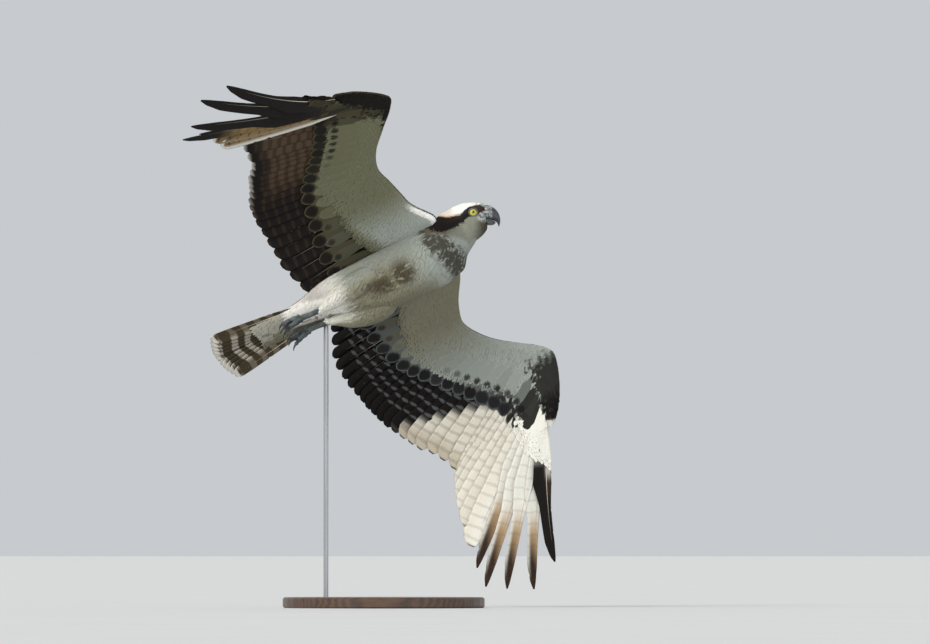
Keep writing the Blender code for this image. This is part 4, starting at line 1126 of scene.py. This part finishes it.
def quill(heap, root, tip, up, across, leading, trailing, outline, bow, bowSide, colourOf, uvSpot):
    # one long feather: its vane, with small splits along the edges, and its shaft
    s, t, side, faces = vaneSheet(flight["rows"], flight["columns"])
    along = tip - root
    whole = np.linalg.norm(along)
    width = np.interp(s, *zip(*outline))
    reach = np.where(t < 0, leading, trailing) * np.abs(t) * width * np.sign(t)
    for split in rng.uniform(0.35, 0.97, flight["splits"]):  # barbs part here and there
        edge = 1 if rng.random() < 0.6 else -1
        dent = np.exp(-((s - split) / 0.0045) ** 2) * rng.uniform(0.06, 0.16)
        reach = np.where(t * edge > 0.6, reach * (1 - dent * (np.abs(t) - 0.6) / 0.4), reach)
    lift = 4 * s * (1 - s)
    sag = 0.0016 * (t * t) * np.where(t > 0, 1.0, 0.4) * width
    height = bow * lift - sag + side * flight["thickness"] / 2
    # the barbs slant forwards, so the tip rounds off
    sweep = np.abs(t) ** 1.5 * width * 0.006 * (s > 0.9) * (s < 1)
    points = (root + along * np.clip(s - sweep, 0, 1)[:, None] + up * height[:, None]
              + across * (reach + bowSide * lift)[:, None])
    ground, mark, vane = colourOf(s * whole, t, side, whole)
    uv = np.stack([uvSpot[0] + 0.024 * (t + 1) / 2 + 0.002 * side, uvSpot[1] + 0.150 * s], -1)
    barb = np.stack([s * whole - np.abs(reach) * 0.8, reach, np.full(len(s), uvSpot[0])], -1)
    heap.add(points, faces, uv, tint=ground, mark=mark, vane=vane, barb=barb)

    rows, sides = flight["shaftRows"], flight["shaftSides"]
    steps = np.linspace(0, 0.985, rows)
    lift = (4 * steps * (1 - steps))[:, None]
    spine = root + along * steps[:, None] + up * bow * lift + across * bowSide * lift
    radius = flight["shaftRadius"] * (1 - 0.86 * steps)
    rings = ovalRings(spine, np.tile(across, (rows, 1)), np.tile(up, (rows, 1)), radius, radius * 0.6,
                      radius * 0.9, sides)
    points = rings.reshape(-1, 3)
    tint = blend(colours["cream"], colours["umber"], np.repeat(ramp(steps, 0.3, 0.9), sides) * 0.8)
    heap.add(points, closedFaces(rows, sides), np.tile(uvSpot, (len(points), 1)) + 0.001 * points[:, :2],
             tint=tint, mark=tint, vane=np.tile(vanes["noBars"], (len(points), 1)), barb=points)


def wingColour(side, order):
    left = side > 0
    jitter = rng.uniform(-0.18, 0.18)
    shadeOf = rng.uniform(0.95, 1.04)

    # Each gives the ground, the mark and the dark share of a bar, by the share of the length
    # and the distance back from the tip.
    def fingers(share, back, t):
        if left:
            ground = blend(colours["white"], colours["gold"], 0.85 * ramp(share, 0.52, 0.72))
            ground = blend(ground, colours["umber"], ramp(share + 0.06 * t, 0.66, 0.88))
            ground = blend(ground, colours["white"], 0.7 * ramp(t, 0.45, 0.85) * ramp(share, 0.97, 0.80))
            if order < 1.5:
                night = np.maximum(ramp(share, 0.50, 0.60), ramp(share, 0.20, 0.34) * ramp(t, -0.2, 0.2))
                ground = blend(ground, colours["umber"], ramp(share, 0.30, 0.45))
                ground = blend(ground, colours["black"], night)
            return ground, blend(ground, colours["brown"], 0.16), 0.20 - 1.4 * (order < 1.5)
        # the right wing's fingers are darkened towards black, partly as painted shade
        if order < 3.6:
            ground = blend(colours["moss"], colours["black"], 0.75 + 0.25 * ramp(share, 0.05, 0.30))
        else:
            ground = blend(colours["straw"], colours["black"], ramp(share, 0.62, 0.80))
            lines = ramp(np.sin(t * 9 + 2 * order), 0.1, 0.9) * ramp(share, 0.9, 0.6)
            ground = blend(ground, colours["moss"], 0.5 * lines)
        return ground, blend(ground, colours["black"], 0.25), 0.30

    def hand(share, back, t):
        if left:
            ground = blend(colours["white"], colours["cream"], 0.35 * ramp(t, 0.0, 0.6))
            return ground, blend(ground, colours["smoke"], 0.24), 0.26 - 0.5 * ramp(back, 0.012, 0.006)
        # the right hand is browner and darker than the left, partly as painted shade
        ground = blend(colours["straw"], colours["brown"], 0.85 * ramp(order, 7.4, 8.2))
        ground = blend(ground, colours["moss"], 0.5 * ramp(np.sin(t * 9 + 2 * order), 0.1, 0.9))
        ground = blend(ground, colours["brown"], 0.5 * ramp(share, 0.80, 1.0))
        # the white bands are partly painted sunlight on the trailing edge
        band = ramp(t, 0.62, 0.72) if 6.5 < order < 7.5 else 0.5 * ramp(t, 0.80, 0.95) * (order < 6.5)
        band = np.maximum(band, ramp(back, 0.009, 0.004) * (order < 7.5))
        dark = (0.12 if order < 7.5 else 0.45) - 1.5 * band
        return blend(ground, colours["white"], band), colours["umber"], dark

    def leftArm(share, back, t):
        reach = back / np.maximum(1 - share, 1e-6) * share
        # the dark inner secondaries beyond this slanting border are partly painted shade: the border
        # follows where shade fell across the wing
        border = np.interp(reach, (0.10, 0.24), (11.0, 17.6))
        night = ramp(order, border - 0.6, border + 0.6)
        ground = blend(colours["white"], colours["cream"], 0.5)
        ground = blend(ground, colours["straw"], 0.40 * ramp(back, 0.050, 0.010))
        mark = blend(blend(ground, colours["smoke"], 0.32), colours["black"], night)
        pale = blend(colours["shadeSlate"], colours["brown"], 0.20)
        dark = 0.32 + 0.36 * night + 1.4 * night * (np.abs(t) - 0.45) ** 2
        dark = dark + 0.5 * night * ramp(back, 0.045, 0.015) - 1.5 * (1 - night) * ramp(back, 0.006, 0.003)
        return blend(ground, pale, night), mark, dark

    def rightArm(share, back, t):
        # the right arm is dark brown where the left is cream, painted shade over the real pattern
        night = np.maximum(ramp(order, 17.5, 23), ramp(back, 0.050, 0.015))
        ground = blend(colours["bark"], colours["umber"], 0.85 * night)
        # the pale tips are partly painted sunlight on the trailing edge
        paleAndSunlitTips = ramp(back, 0.0050, 0.0025) * ramp(order, 24, 17)
        dark = 0.42 + 0.25 * night + 0.8 * night * (np.abs(t) - 0.4) ** 2 - 1.5 * paleAndSunlitTips
        mark = blend(blend(ground, colours["umber"], 0.65), colours["black"], night)
        ground = blend(blend(ground, colours["black"], 0.5 * night), colours["white"], 0.8 * paleAndSunlitTips)
        return ground, mark, dark

    def colourOf(reach, t, face, whole):
        back, upper = whole - reach, face > 0
        below = fingers if order <= 5.5 else hand if order <= 10.5 else leftArm if left else rightArm
        ground, mark, dark = below(reach / whole, back, t)
        dorsal = blend(colours["umber"], colours["brown"], 0.35 + 0.25 * np.sin(reach * 260))
        ground = np.where(upper[:, None], dorsal, ground)
        mark = np.where(upper[:, None], colours["umber"], mark)
        phase = back / (0.0195 if order > 10.5 else 0.022) + jitter + 0.12 * np.abs(t)
        return ground * shadeOf, mark * shadeOf, np.stack([phase, np.where(upper, 0.35, dark), t], -1)

    return colourOf


def makeFlight(side):
    label = nameOf(side)
    heap = Heap()
    for number in range(flight["count"]):
        order = number + 1.0
        root, tip, along, across, up = featherFrame(side, order)
        bow, bowSide, outline = float(featherBow(side, order)), 0.0, vanes["round"]
        widths = flight["arm"] if order > 10.5 else flight["hand"]
        if order <= 5:
            widths, outline = flight["fingers"], vanes["finger"]
            bowSide = 0.010 * float(ramp(order, 5, 1))
        tip = tip - along * rng.uniform(0, 0.0025)
        quill(heap, root, tip, up, across, *widths, outline, bow, bowSide, wingColour(side, order),
              (0.02 + 0.030 * number, 0.05))
    settle(heap.piece(f"flight_{label}", finishes["flight"]), "plumage", f"wing_arm_{label}",
           f"wing_hand_{label}")


# Tail
tail = {
    "rootX": -0.250, "tipX": -0.452, "drop": 0.014, "rootSpread": 0.019, "halfSpread": 0.049,
    "swing": 0.005, "layer": 0.00105, "pairs": 6, "outerWidth": 0.0105, "barPitch": 0.0270,
    "firstBar": 0.022,
}


def tailColour(reach, t, face, whole):
    back, upper = whole - reach, (face > 0)[:, None]
    # the underside's ground is darkened by 0.62, partly as painted shade
    ground = blend(colours["straw"], colours["smoke"], 0.70 - 0.25 * ramp(t, -0.2, 0.6)) * 0.62
    ground = blend(ground, colours["white"], 0.35 * ramp(t, 0.35, 0.85) * ramp(back, 0.150, 0.050))
    ground = blend(ground, colours["white"], 0.7 * ramp(back, 0.013, 0.006))
    ground = np.where(upper, blend(colours["brown"], colours["gold"], 0.25), ground)
    mark = np.tile(blend(colours["umber"], colours["moss"], 0.6), (len(reach), 1))
    past = back - tail["firstBar"]
    dark = 0.56 - 1.6 * ramp(back, 0.010, 0.005) + 0.8 * np.exp(-(past / 0.008) ** 2)
    return ground, mark, np.stack([past / tail["barPitch"] + 0.5 + 0.10 * np.abs(t), dark, t], -1)


def makeTail():
    heap = Heap()
    up = np.array((0.0, 0.0, 1.0))
    for pair in range(tail["pairs"]):
        for side in (1, -1):
            outness = (pair + 0.5) / (tail["pairs"] - 0.5)
            layer = pair + 1 if pair else (0 if side > 0 else 1)
            height = -0.0010 - tail["layer"] * layer
            root = np.array((tail["rootX"] + 0.012, side * tail["rootSpread"] * outness, height))
            aside = side * tail["halfSpread"] * outness + tail["swing"]
            tip = np.array((tail["tipX"] + 0.014 * outness**2, aside, height - tail["drop"]))
            inner = 0.015 if pair == 0 else max(0.0045, min(0.018, tail["halfSpread"] * outness * 0.8))
            across, spot = np.array((0.0, -side, 0.0)), (0.04 + 0.06 * (2 * pair + (side > 0)), 0.1)
            quill(heap, root, tip, up, across, tail["outerWidth"], inner, vanes["round"], 0.0, 0.0,
                  tailColour, spot)
    settle(heap.piece("tail_feathers", finishes["flight"]), "plumage", "tail")


# Thigh feathers
def makeThighCoat(side):
    label = nameOf(side)
    thin = thighRows[::-1].copy()
    thin[:, 3] -= leg["coatDepth"]
    sides = leg["coatSides"]
    lay = Surface(mirrored(tubeRings(thin, sides), side), True, fromMiddle)

    def thighTint(p, normal, spots, s, t):
        streak = cloud(p * np.array((0.12, 1.0, 1.0)), 260, 21)
        tint = blend(colours["white"], colours["shade"], 0.45 * ramp(streak, 0.6, -0.8))
        tint = blend(tint, colours["straw"], 0.25 * ramp(streak, -0.3, -1.0))
        shadow = blend(colours["shade"] * 0.72, colours["moss"], 0.4 * ramp(streak, 0.0, 0.8))
        tint = blend(tint, shadow, 0.9 * ramp(p[:, 1] + 0.008 * streak, 0.010, 0.028))
        # the belly's colours in front, so that no edge shows against the body
        belly = bodyTint(p, np.tile((0.0, 0.0, -1.0), (len(p), 1)))
        tint = blend(belly, tint, ramp(p[:, 0] + 0.02 * streak, -0.125, -0.175))
        tint = tint * (1 + 0.04 * rng.standard_normal(len(p)))[:, None]
        full = tint[:, None] * (0.92 + 0.08 * ramp(s, 0.2, 0.8))[None, :, None]
        return full, full, vanes["noBars"]

    heap = Heap()
    spots = lay.roots(1.0, 38, lambda row: 0.0038)
    size = np.interp(spots[:, 0], (0, 12, 38), (0.012, 0.024, 0.028)) * rng.uniform(0.8, 1.2, len(spots))
    layOn(heap, lay, spots, size, 0.0036, -0.0004, 0.0018, thighTint, uvOn(sides, len(thin)),
          turn=rng.normal(0, 0.15, len(spots)), rows=5)
    settle(heap.piece(f"coat_thigh_{label}", finishes["coat"]), "plumage", f"thigh_{label}")


# Head: eyes, lids and bill
face = {
    "eyeRadius": 0.0086, "eyePlace": (0.0005, 0.0172, 0.0005), "pupil": 0.0026, "iris": 0.0073,
    "eyeAxis": (0.22, 1.0, 0.05), "eyeRim": (0.0008, 0.0215, 0.0006),
    "lidRadius": 0.0081, "lidThickness": 0.0011, "lidPlace": (0.0016, 0.0217, 0.0006),
    "upperBill": ((0.0231, 0.0206, 0.0266, -0.0060, 0.0102), (0.0310, 0.0190, 0.0310, -0.0068, 0.0090),
                  (0.0385, 0.0146, 0.0358, -0.0080, 0.0074), (0.0452, 0.0072, 0.0404, -0.0095, 0.0055),
                  (0.0492, -0.0018, 0.0440, -0.0125, 0.0036), (0.0503, -0.0112, 0.0465, -0.0165, 0.0020),
                  (0.0488, -0.0200, 0.0480, -0.0205, 0.0006)),
    "lowerBill": ((0.0267, -0.0067, 0.0282, -0.0176, 0.0090), (0.0320, -0.0075, 0.0325, -0.0178, 0.0074),
                  (0.0375, -0.0089, 0.0378, -0.0166, 0.0048), (0.0412, -0.0106, 0.0410, -0.0140, 0.0022)),
    "nostril": (0.0297, 0.0095), "billRows": 56, "billSides": 44,
}


def hornMaterial(name, roughness, bumpScale):
    m, tree, shader = newMaterial(name, roughness, Coat_Weight=0.35, Coat_Roughness=0.18)
    place = placeOn(tree)
    mottle = noise(tree, place, 340.0, 4.0)
    colourBy(tree, shader, attribute(tree, "tint"), remap(tree, mottle, 0.3, 0.7, 0.82, 1.18))
    rough = remap(tree, mottle, 0.3, 0.7, roughness * 0.8, roughness * 1.3)
    tree.links.new(rough, shader.inputs["Roughness"])
    bumpBy(tree, shader, noise(tree, place, bumpScale, 3.0), 0.25, 0.0003)
    return m


def footMaterial():
    m, tree, shader = newMaterial("scaled_foot_skin", 0.6)
    place = placeOn(tree)
    cells = addNode(tree, "ShaderNodeTexVoronoi", {"Scale": 620.0}, {"Vector": place},
                    feature="DISTANCE_TO_EDGE")
    edge = remap(tree, cells.outputs["Distance"], 0.0, 0.16, 0.0, 1.0, True)
    # the slate greys of the foot are darkened, partly as painted shade
    grey = twoTones(tree, noise(tree, place, 120.0, 3.0), (56, 62, 65), (98, 106, 106), 0.35, 0.68)
    colourBy(tree, shader, grey, remap(tree, edge, 0, 1, 0.55, 1.05))
    bumpBy(tree, shader, edge, 0.7, 0.0004)
    return m


def eyeMaterial():
    m, tree, shader = newMaterial("wet_eye", 0.12, Coat_Weight=1.0, Coat_Roughness=0.03)
    mottle = noise(tree, placeOn(tree), 900.0, 2.0)
    colourBy(tree, shader, attribute(tree, "tint"), remap(tree, mottle, 0.3, 0.7, 0.85, 1.12))
    return m


finishes["horn"] = hornMaterial("dark_horn", 0.32, 900.0)
finishes["lid"] = hornMaterial("bare_lid", 0.55, 1600.0)
finishes["foot"] = footMaterial()
finishes["eye"] = eyeMaterial()


def eyeFrame(side):  # which way the eye looks, and two directions across it
    axis = unit(np.array(face["eyeAxis"]) * (1, side, 1))
    first = unit(np.cross(axis, (0.0, 0.0, 1.0)))
    return axis, first, np.cross(axis, first)


def makeEye(side):
    axis, first, second = eyeFrame(side)
    rings, sides, radius = 46, 48, face["eyeRadius"]
    polar = np.linspace(0.02, 1, rings) ** 0.8 * math.pi * 0.99
    turn = np.linspace(0, 2 * math.pi, sides, endpoint=False)
    flat = np.sin(polar) * radius
    bulge = 1 + 0.035 * np.exp(-(polar / 0.55) ** 2)  # the cornea
    around = first * np.cos(turn)[:, None] + second * np.sin(turn)[:, None]
    ahead, aside = np.cos(polar) * radius * bulge, flat * bulge
    points = axis * ahead[:, None, None] + around[None] * aside[:, None, None]
    out = np.where(polar < 1.5, flat, radius)[:, None]
    rays = 0.5 + 0.5 * np.sin(turn * 23 + 3 * np.sin(turn * 5))[None]
    pupil, iris = face["pupil"], face["iris"]
    tint = blend(paint(176, 172, 44), paint(214, 208, 84), ramp(out, pupil, iris) * 0.7 + 0.3 * rays)
    tint = blend(tint, paint(120, 104, 20), 0.7 * ramp(out, iris * 0.86, iris))
    tint = blend(tint, paint(10, 9, 8), ramp(out, iris - 0.0002, iris + 0.0003))
    tint = blend(tint, paint(14, 13, 8), 1 - ramp(out, pupil - 0.0005, pupil + 0.0006))
    spots = fromHead(points.reshape(-1, 3) + np.array(face["eyePlace"]) * (1, side, 1))
    piece = meshPiece(f"eye_ball_{nameOf(side)}", spots, closedFaces(rings, sides), finishes["eye"],
                      {"tint": tint.reshape(-1, 3)})
    turnOut(piece)
    settle(piece, "eye", f"eye_{nameOf(side)}")


def makeLids():
    rounds, sides = 72, 16
    turn = np.linspace(0, 2 * math.pi, rounds, endpoint=False)
    tube = np.linspace(0, 2 * math.pi, sides, endpoint=False)
    brow = ramp(np.sin(turn), 0.1, 0.9)  # the upper lid is heavier and stands out as a brow
    crease = 1 + 0.06 * np.sin(turn * 26)
    thick = face["lidThickness"] * (1 + 0.45 * brow) * crease
    rings, faces = [], []
    for number, side in enumerate((1, -1)):
        axis, first, second = eyeFrame(side)
        out = first * np.cos(turn)[:, None] - second * (np.sin(turn) * 0.90)[:, None]
        reach = face["lidRadius"] + thick[:, None] * np.cos(tube) * 1.15
        height = (0.0006 + 0.0006 * brow)[:, None] + thick[:, None] * np.sin(tube) * 1.15
        centre = np.array(face["lidPlace"]) * (1, side, 1)
        ring = centre + out[:, None] * reach[..., None] + axis * height[..., None]
        rings.append(fromHead(ring).reshape(-1, 3))
        ids = number * rounds * sides + np.arange(rounds * sides).reshape(rounds, sides)
        far = np.roll(ids, -1, 0)
        faces.append(np.stack([ids, np.roll(ids, -1, 1), np.roll(far, -1, 1), far], -1).reshape(-1, 4))
    shade = blend(paint(44, 40, 38), paint(92, 86, 80), 0.5 + 0.5 * np.sin(tube + 1.2))
    piece = meshPiece("eyelids", np.concatenate(rings), np.concatenate(faces), finishes["lid"],
                      {"tint": np.tile(shade, (2 * rounds, 1))})
    turnOut(piece)
    settle(piece, "horn", "head")


def makeBill():
    for name, node, rows in (("bill_top", "bill_upper", face["upperBill"]),
                             ("bill_bottom", "bill_lower", face["lowerBill"])):
        upper = node == "bill_upper"
        at = np.linspace(0, 1, face["billRows"]) ** 0.9 * (len(rows) - 1)
        rings = leaningRings(rows, at, face["billSides"], 0.92)
        inside = rings[:1] * 0.9 + rings[:1].mean(1, keepdims=True) * 0.1 - (0.0055, 0, 0)
        rings = np.concatenate([inside, rings])
        x, pit = rings[..., 0], np.zeros(rings.shape[:2])
        if upper:  # the soft cere behind, the horn ahead, and the nostrils
            middle = rings.mean(1, keepdims=True)
            swell = 1 + 0.075 * (1 - ramp(x, 0.0300, 0.0325)) * ramp(rings[..., 2], -0.008, 0.002)
            rings = middle + (rings - middle) * swell[..., None]
            ahead, over = rings[..., 0] - face["nostril"][0], rings[..., 2] - face["nostril"][1]
            slant, rise = ahead * 0.906 + over * 0.42, over * 0.906 - ahead * 0.42
            pit = np.exp(-(slant / 0.0022) ** 2 - (rise / 0.0010) ** 2) * (np.abs(rings[..., 1]) > 0.003)
            rings[..., 1] -= np.sign(rings[..., 1]) * pit * 0.0022
        z = rings[..., 2]
        cere = 1 - ramp(x + 0.10 * z + 0.0006 * cloud(rings, 500, 3), 0.0340, 0.0372)
        horn = blend(paint(26, 26, 30), paint(54, 56, 62), 0.5 + 0.5 * cloud(rings, 300, 5))
        # the cere's pale grey is partly painted highlight
        soft = blend(paint(64, 68, 72), paint(176, 180, 176), ramp(cloud(rings, 420, 6), -0.4, 0.9))
        tint = blend(horn, soft, cere if upper else cere * 0.25)
        tint = blend(tint, paint(8, 8, 9), ramp(pit, 0.25, 0.7))
        if upper:  # the cutting edge
            tint = blend(tint, paint(20, 20, 22), ramp(-z, 0.0035, 0.0065) * 0.85)
        piece = meshPiece(name, fromHead(rings.reshape(-1, 3)), closedFaces(len(rings), face["billSides"]),
                          finishes["horn"], {"tint": tint.reshape(-1, 3)})
        turnOut(piece)
        settle(piece, "horn", node)


# Feet
def bentPath(start, aim, length, radius, endRadius, curl, steps):
    rows, spot, heading = [], np.array(start, float), unit(np.array(aim, float))
    across = Vector(np.cross(heading, (0.0, 0.0, 1.0))).normalized()
    turn = np.array(Matrix.Rotation(-curl / steps, 3, across))
    for step in range(steps + 1):
        rows.append((*spot, radius + (endRadius - radius) * step / steps))
        heading = turn @ heading
        spot = spot + heading * length / steps
    return np.array(rows)


def makeFoot(side):
    label = nameOf(side)
    steps = leg["shankSteps"]
    shank = smoothTable(numbered(leg["tarsus"]), np.linspace(0, 2, steps))
    shank[:, 3] *= 1 + 0.05 * np.abs(np.sin(np.arange(steps) * 0.9))
    groups, claws = [mirrored(tubeRings(shank, 20), side)], []
    hock = np.array(leg["tarsus"][-1][:3])
    for aside, aim, curl in leg["toes"]:
        steps = leg["toeSteps"]
        long = leg["toeLength"] if curl > 0 else leg["toeLength"] * 0.72
        thick, thin = leg["toeRadius"] * 1.02, leg["toeRadius"] * 0.74
        toe = bentPath(hock + (0.003, aside * 0.6, 0), aim, long, thick, thin, curl, steps)
        pads = 1 + 0.13 * np.cos(np.linspace(0, 1, steps + 1) * 2 * math.pi * (3 if curl > 0 else 2))
        scutes = 1 + 0.035 * np.abs(np.sin(np.arange(steps + 1) * 1.3))
        toe[:, 3] *= pads * scutes
        groups.append(mirrored(tubeRings(toe, 18), side))
        end, heading = toe[-1, :3], unit(toe[-1, :3] - toe[-2, :3])
        claw = bentPath(end - heading * leg["clawSink"], heading, leg["clawLength"] * 0.97 + 0.001,
                        leg["clawRadius"], leg["clawRadius"] * 0.10, curl * 2.2, leg["clawSteps"])
        claw[-2:, 3] *= 0.6
        claws.append(mirrored(tubeRings(claw, 14), side))
    foot = ringMesh(f"toes_{label}", groups, finishes["foot"])
    remeshed(foot, leg["footVoxel"], 1, finishes["foot"])
    settle(foot, "foot_skin", f"foot_{label}")
    talons = ringMesh(f"talons_{label}", claws, finishes["horn"])
    spots, _ = pointsOf(talons)
    dressMesh(talons.data, {"tint": paint(22, 22, 25) * (1 + 0.3 * cloud(spots, 400, 9))[:, None]})
    settle(talons, "horn", *[f"claw_{label}_{number}" for number in range(1, 5)])


# Stand: the solids stay, in turned wood and brushed steel
def woodMaterial():
    m, tree, shader = newMaterial("oiled_walnut", 0.42, Coat_Weight=0.25, Coat_Roughness=0.25)
    place = stretched(tree, 2.2, 34.0, 34.0)
    grain, pores = noise(tree, place, 1.6, 6.0, Distortion=0.7), noise(tree, place, 26.0, 2.0)
    values = {"Scale": 1.1, "Distortion": 7.0, "Detail": 3.0}
    rings = addNode(tree, "ShaderNodeTexWave", values, {"Vector": place}, wave_type="RINGS").outputs["Fac"]
    both = mathNode(tree, "ADD", mathNode(tree, "MULTIPLY", grain, 0.65),
                    mathNode(tree, "MULTIPLY", rings, 0.35))
    brown = twoTones(tree, both, (58, 40, 29), (90, 64, 45), 0.30, 0.72)
    colourBy(tree, shader, brown, remap(tree, pores, 0.35, 0.6, 0.72, 1.05))
    tree.links.new(remap(tree, pores, 0.3, 0.7, 0.55, 0.36), shader.inputs["Roughness"])
    bumpBy(tree, shader, pores, 0.15, 0.0004)
    return m


def steelMaterial():
    m, tree, shader = newMaterial("brushed_steel", 0.32, Metallic=1.0)
    lines = noise(tree, stretched(tree, 900.0, 900.0, 9.0), 1.0, 4.0)
    tree.links.new(twoTones(tree, lines, (150, 150, 152), (206, 206, 208)), shader.inputs["Base Color"])
    tree.links.new(remap(tree, lines, 0.3, 0.7, 0.22, 0.42), shader.inputs["Roughness"])
    bumpBy(tree, shader, lines, 0.1, 0.0001)
    return m


def dressStand():
    for node, material in (("stand_base", woodMaterial()), ("stand_rod", steelMaterial())):
        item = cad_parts[node]
        for number in range(max(1, len(item.material_slots))):
            item.material_slots[number].material = material


# Floor, light and camera
studio = {
    "distance": 20.0, "elevation": -1.2, "centre": (0.152944, -0.027539, 0.537526), "frameWidth": 1.7484,
    # name, where it shines from, strength, softness and colour
    "lamps": (("key", (-0.50, -0.62, 0.60), 2.9, 0.60, (1.0, 0.965, 0.90)),
              ("fill", (0.55, -0.75, 0.25), 0.7, 1.2, (0.92, 0.96, 1.0))),
    "worldStrength": 0.75, "floorReach": 90,
}


def makeCamera():
    scene = bpy.context.scene
    tilt = math.radians(studio["elevation"])
    look = Vector((0, math.cos(tilt), -math.sin(tilt)))
    lens = bpy.data.cameras.new("camera")
    lens.sensor_width, lens.lens = 36.0, 36.0 * studio["distance"] / studio["frameWidth"]
    lens.clip_end = 400
    camera = bpy.data.objects.new("camera", lens)
    camera.location = Vector(studio["centre"]) - look * studio["distance"]
    camera.rotation_euler = look.to_track_quat("-Z", "Y").to_euler()
    scene.collection.objects.link(camera)
    scene.camera = camera


def makeLight():
    scene = bpy.context.scene
    for name, source, power, soft, tone in studio["lamps"]:
        lamp = bpy.data.lights.new(name, "SUN")
        lamp.energy, lamp.angle, lamp.color = power, soft, tone
        item = bpy.data.objects.new(name, lamp)
        item.rotation_euler = Vector(source).to_track_quat("Z", "Y").to_euler()
        scene.collection.objects.link(item)
    world = bpy.data.worlds.new("studio")
    world.use_nodes = True
    back = world.node_tree.nodes["Background"]
    back.inputs["Color"].default_value = (*paint(226, 230, 234), 1)
    back.inputs["Strength"].default_value = studio["worldStrength"]
    scene.world = world
    scene.view_settings.view_transform = "Standard"


def makeFloor():
    m, tree, shader = newMaterial("pale_floor", 0.8)
    grey = twoTones(tree, noise(tree, placeOn(tree), 3.0, 3.0), (196, 197, 198), (204, 204, 204))
    tree.links.new(grey, shader.inputs["Base Color"])
    mesh = bpy.data.meshes.new("floor")
    far = studio["floorReach"]
    mesh.from_pydata([(-far, -far, 0), (far, -far, 0), (far, far, 0), (-far, far, 0)], [], [(0, 1, 2, 3)])
    mesh.materials.append(m)
    floor = bpy.data.objects.new("floor", mesh)
    bpy.context.scene.collection.objects.link(floor)


makeSkin()
makeBodyCoat()
for side in (1, -1):
    makeThighCoat(side)
    makeUnderCoverts(side)
    makeUpperCoverts(side)
    makeFlight(side)
    makeEye(side)
    makeFoot(side)
makeTail()
makeLids()
makeBill()
dressStand()
makeCamera()
makeLight()
makeFloor()
print("stand, floor, light and camera")
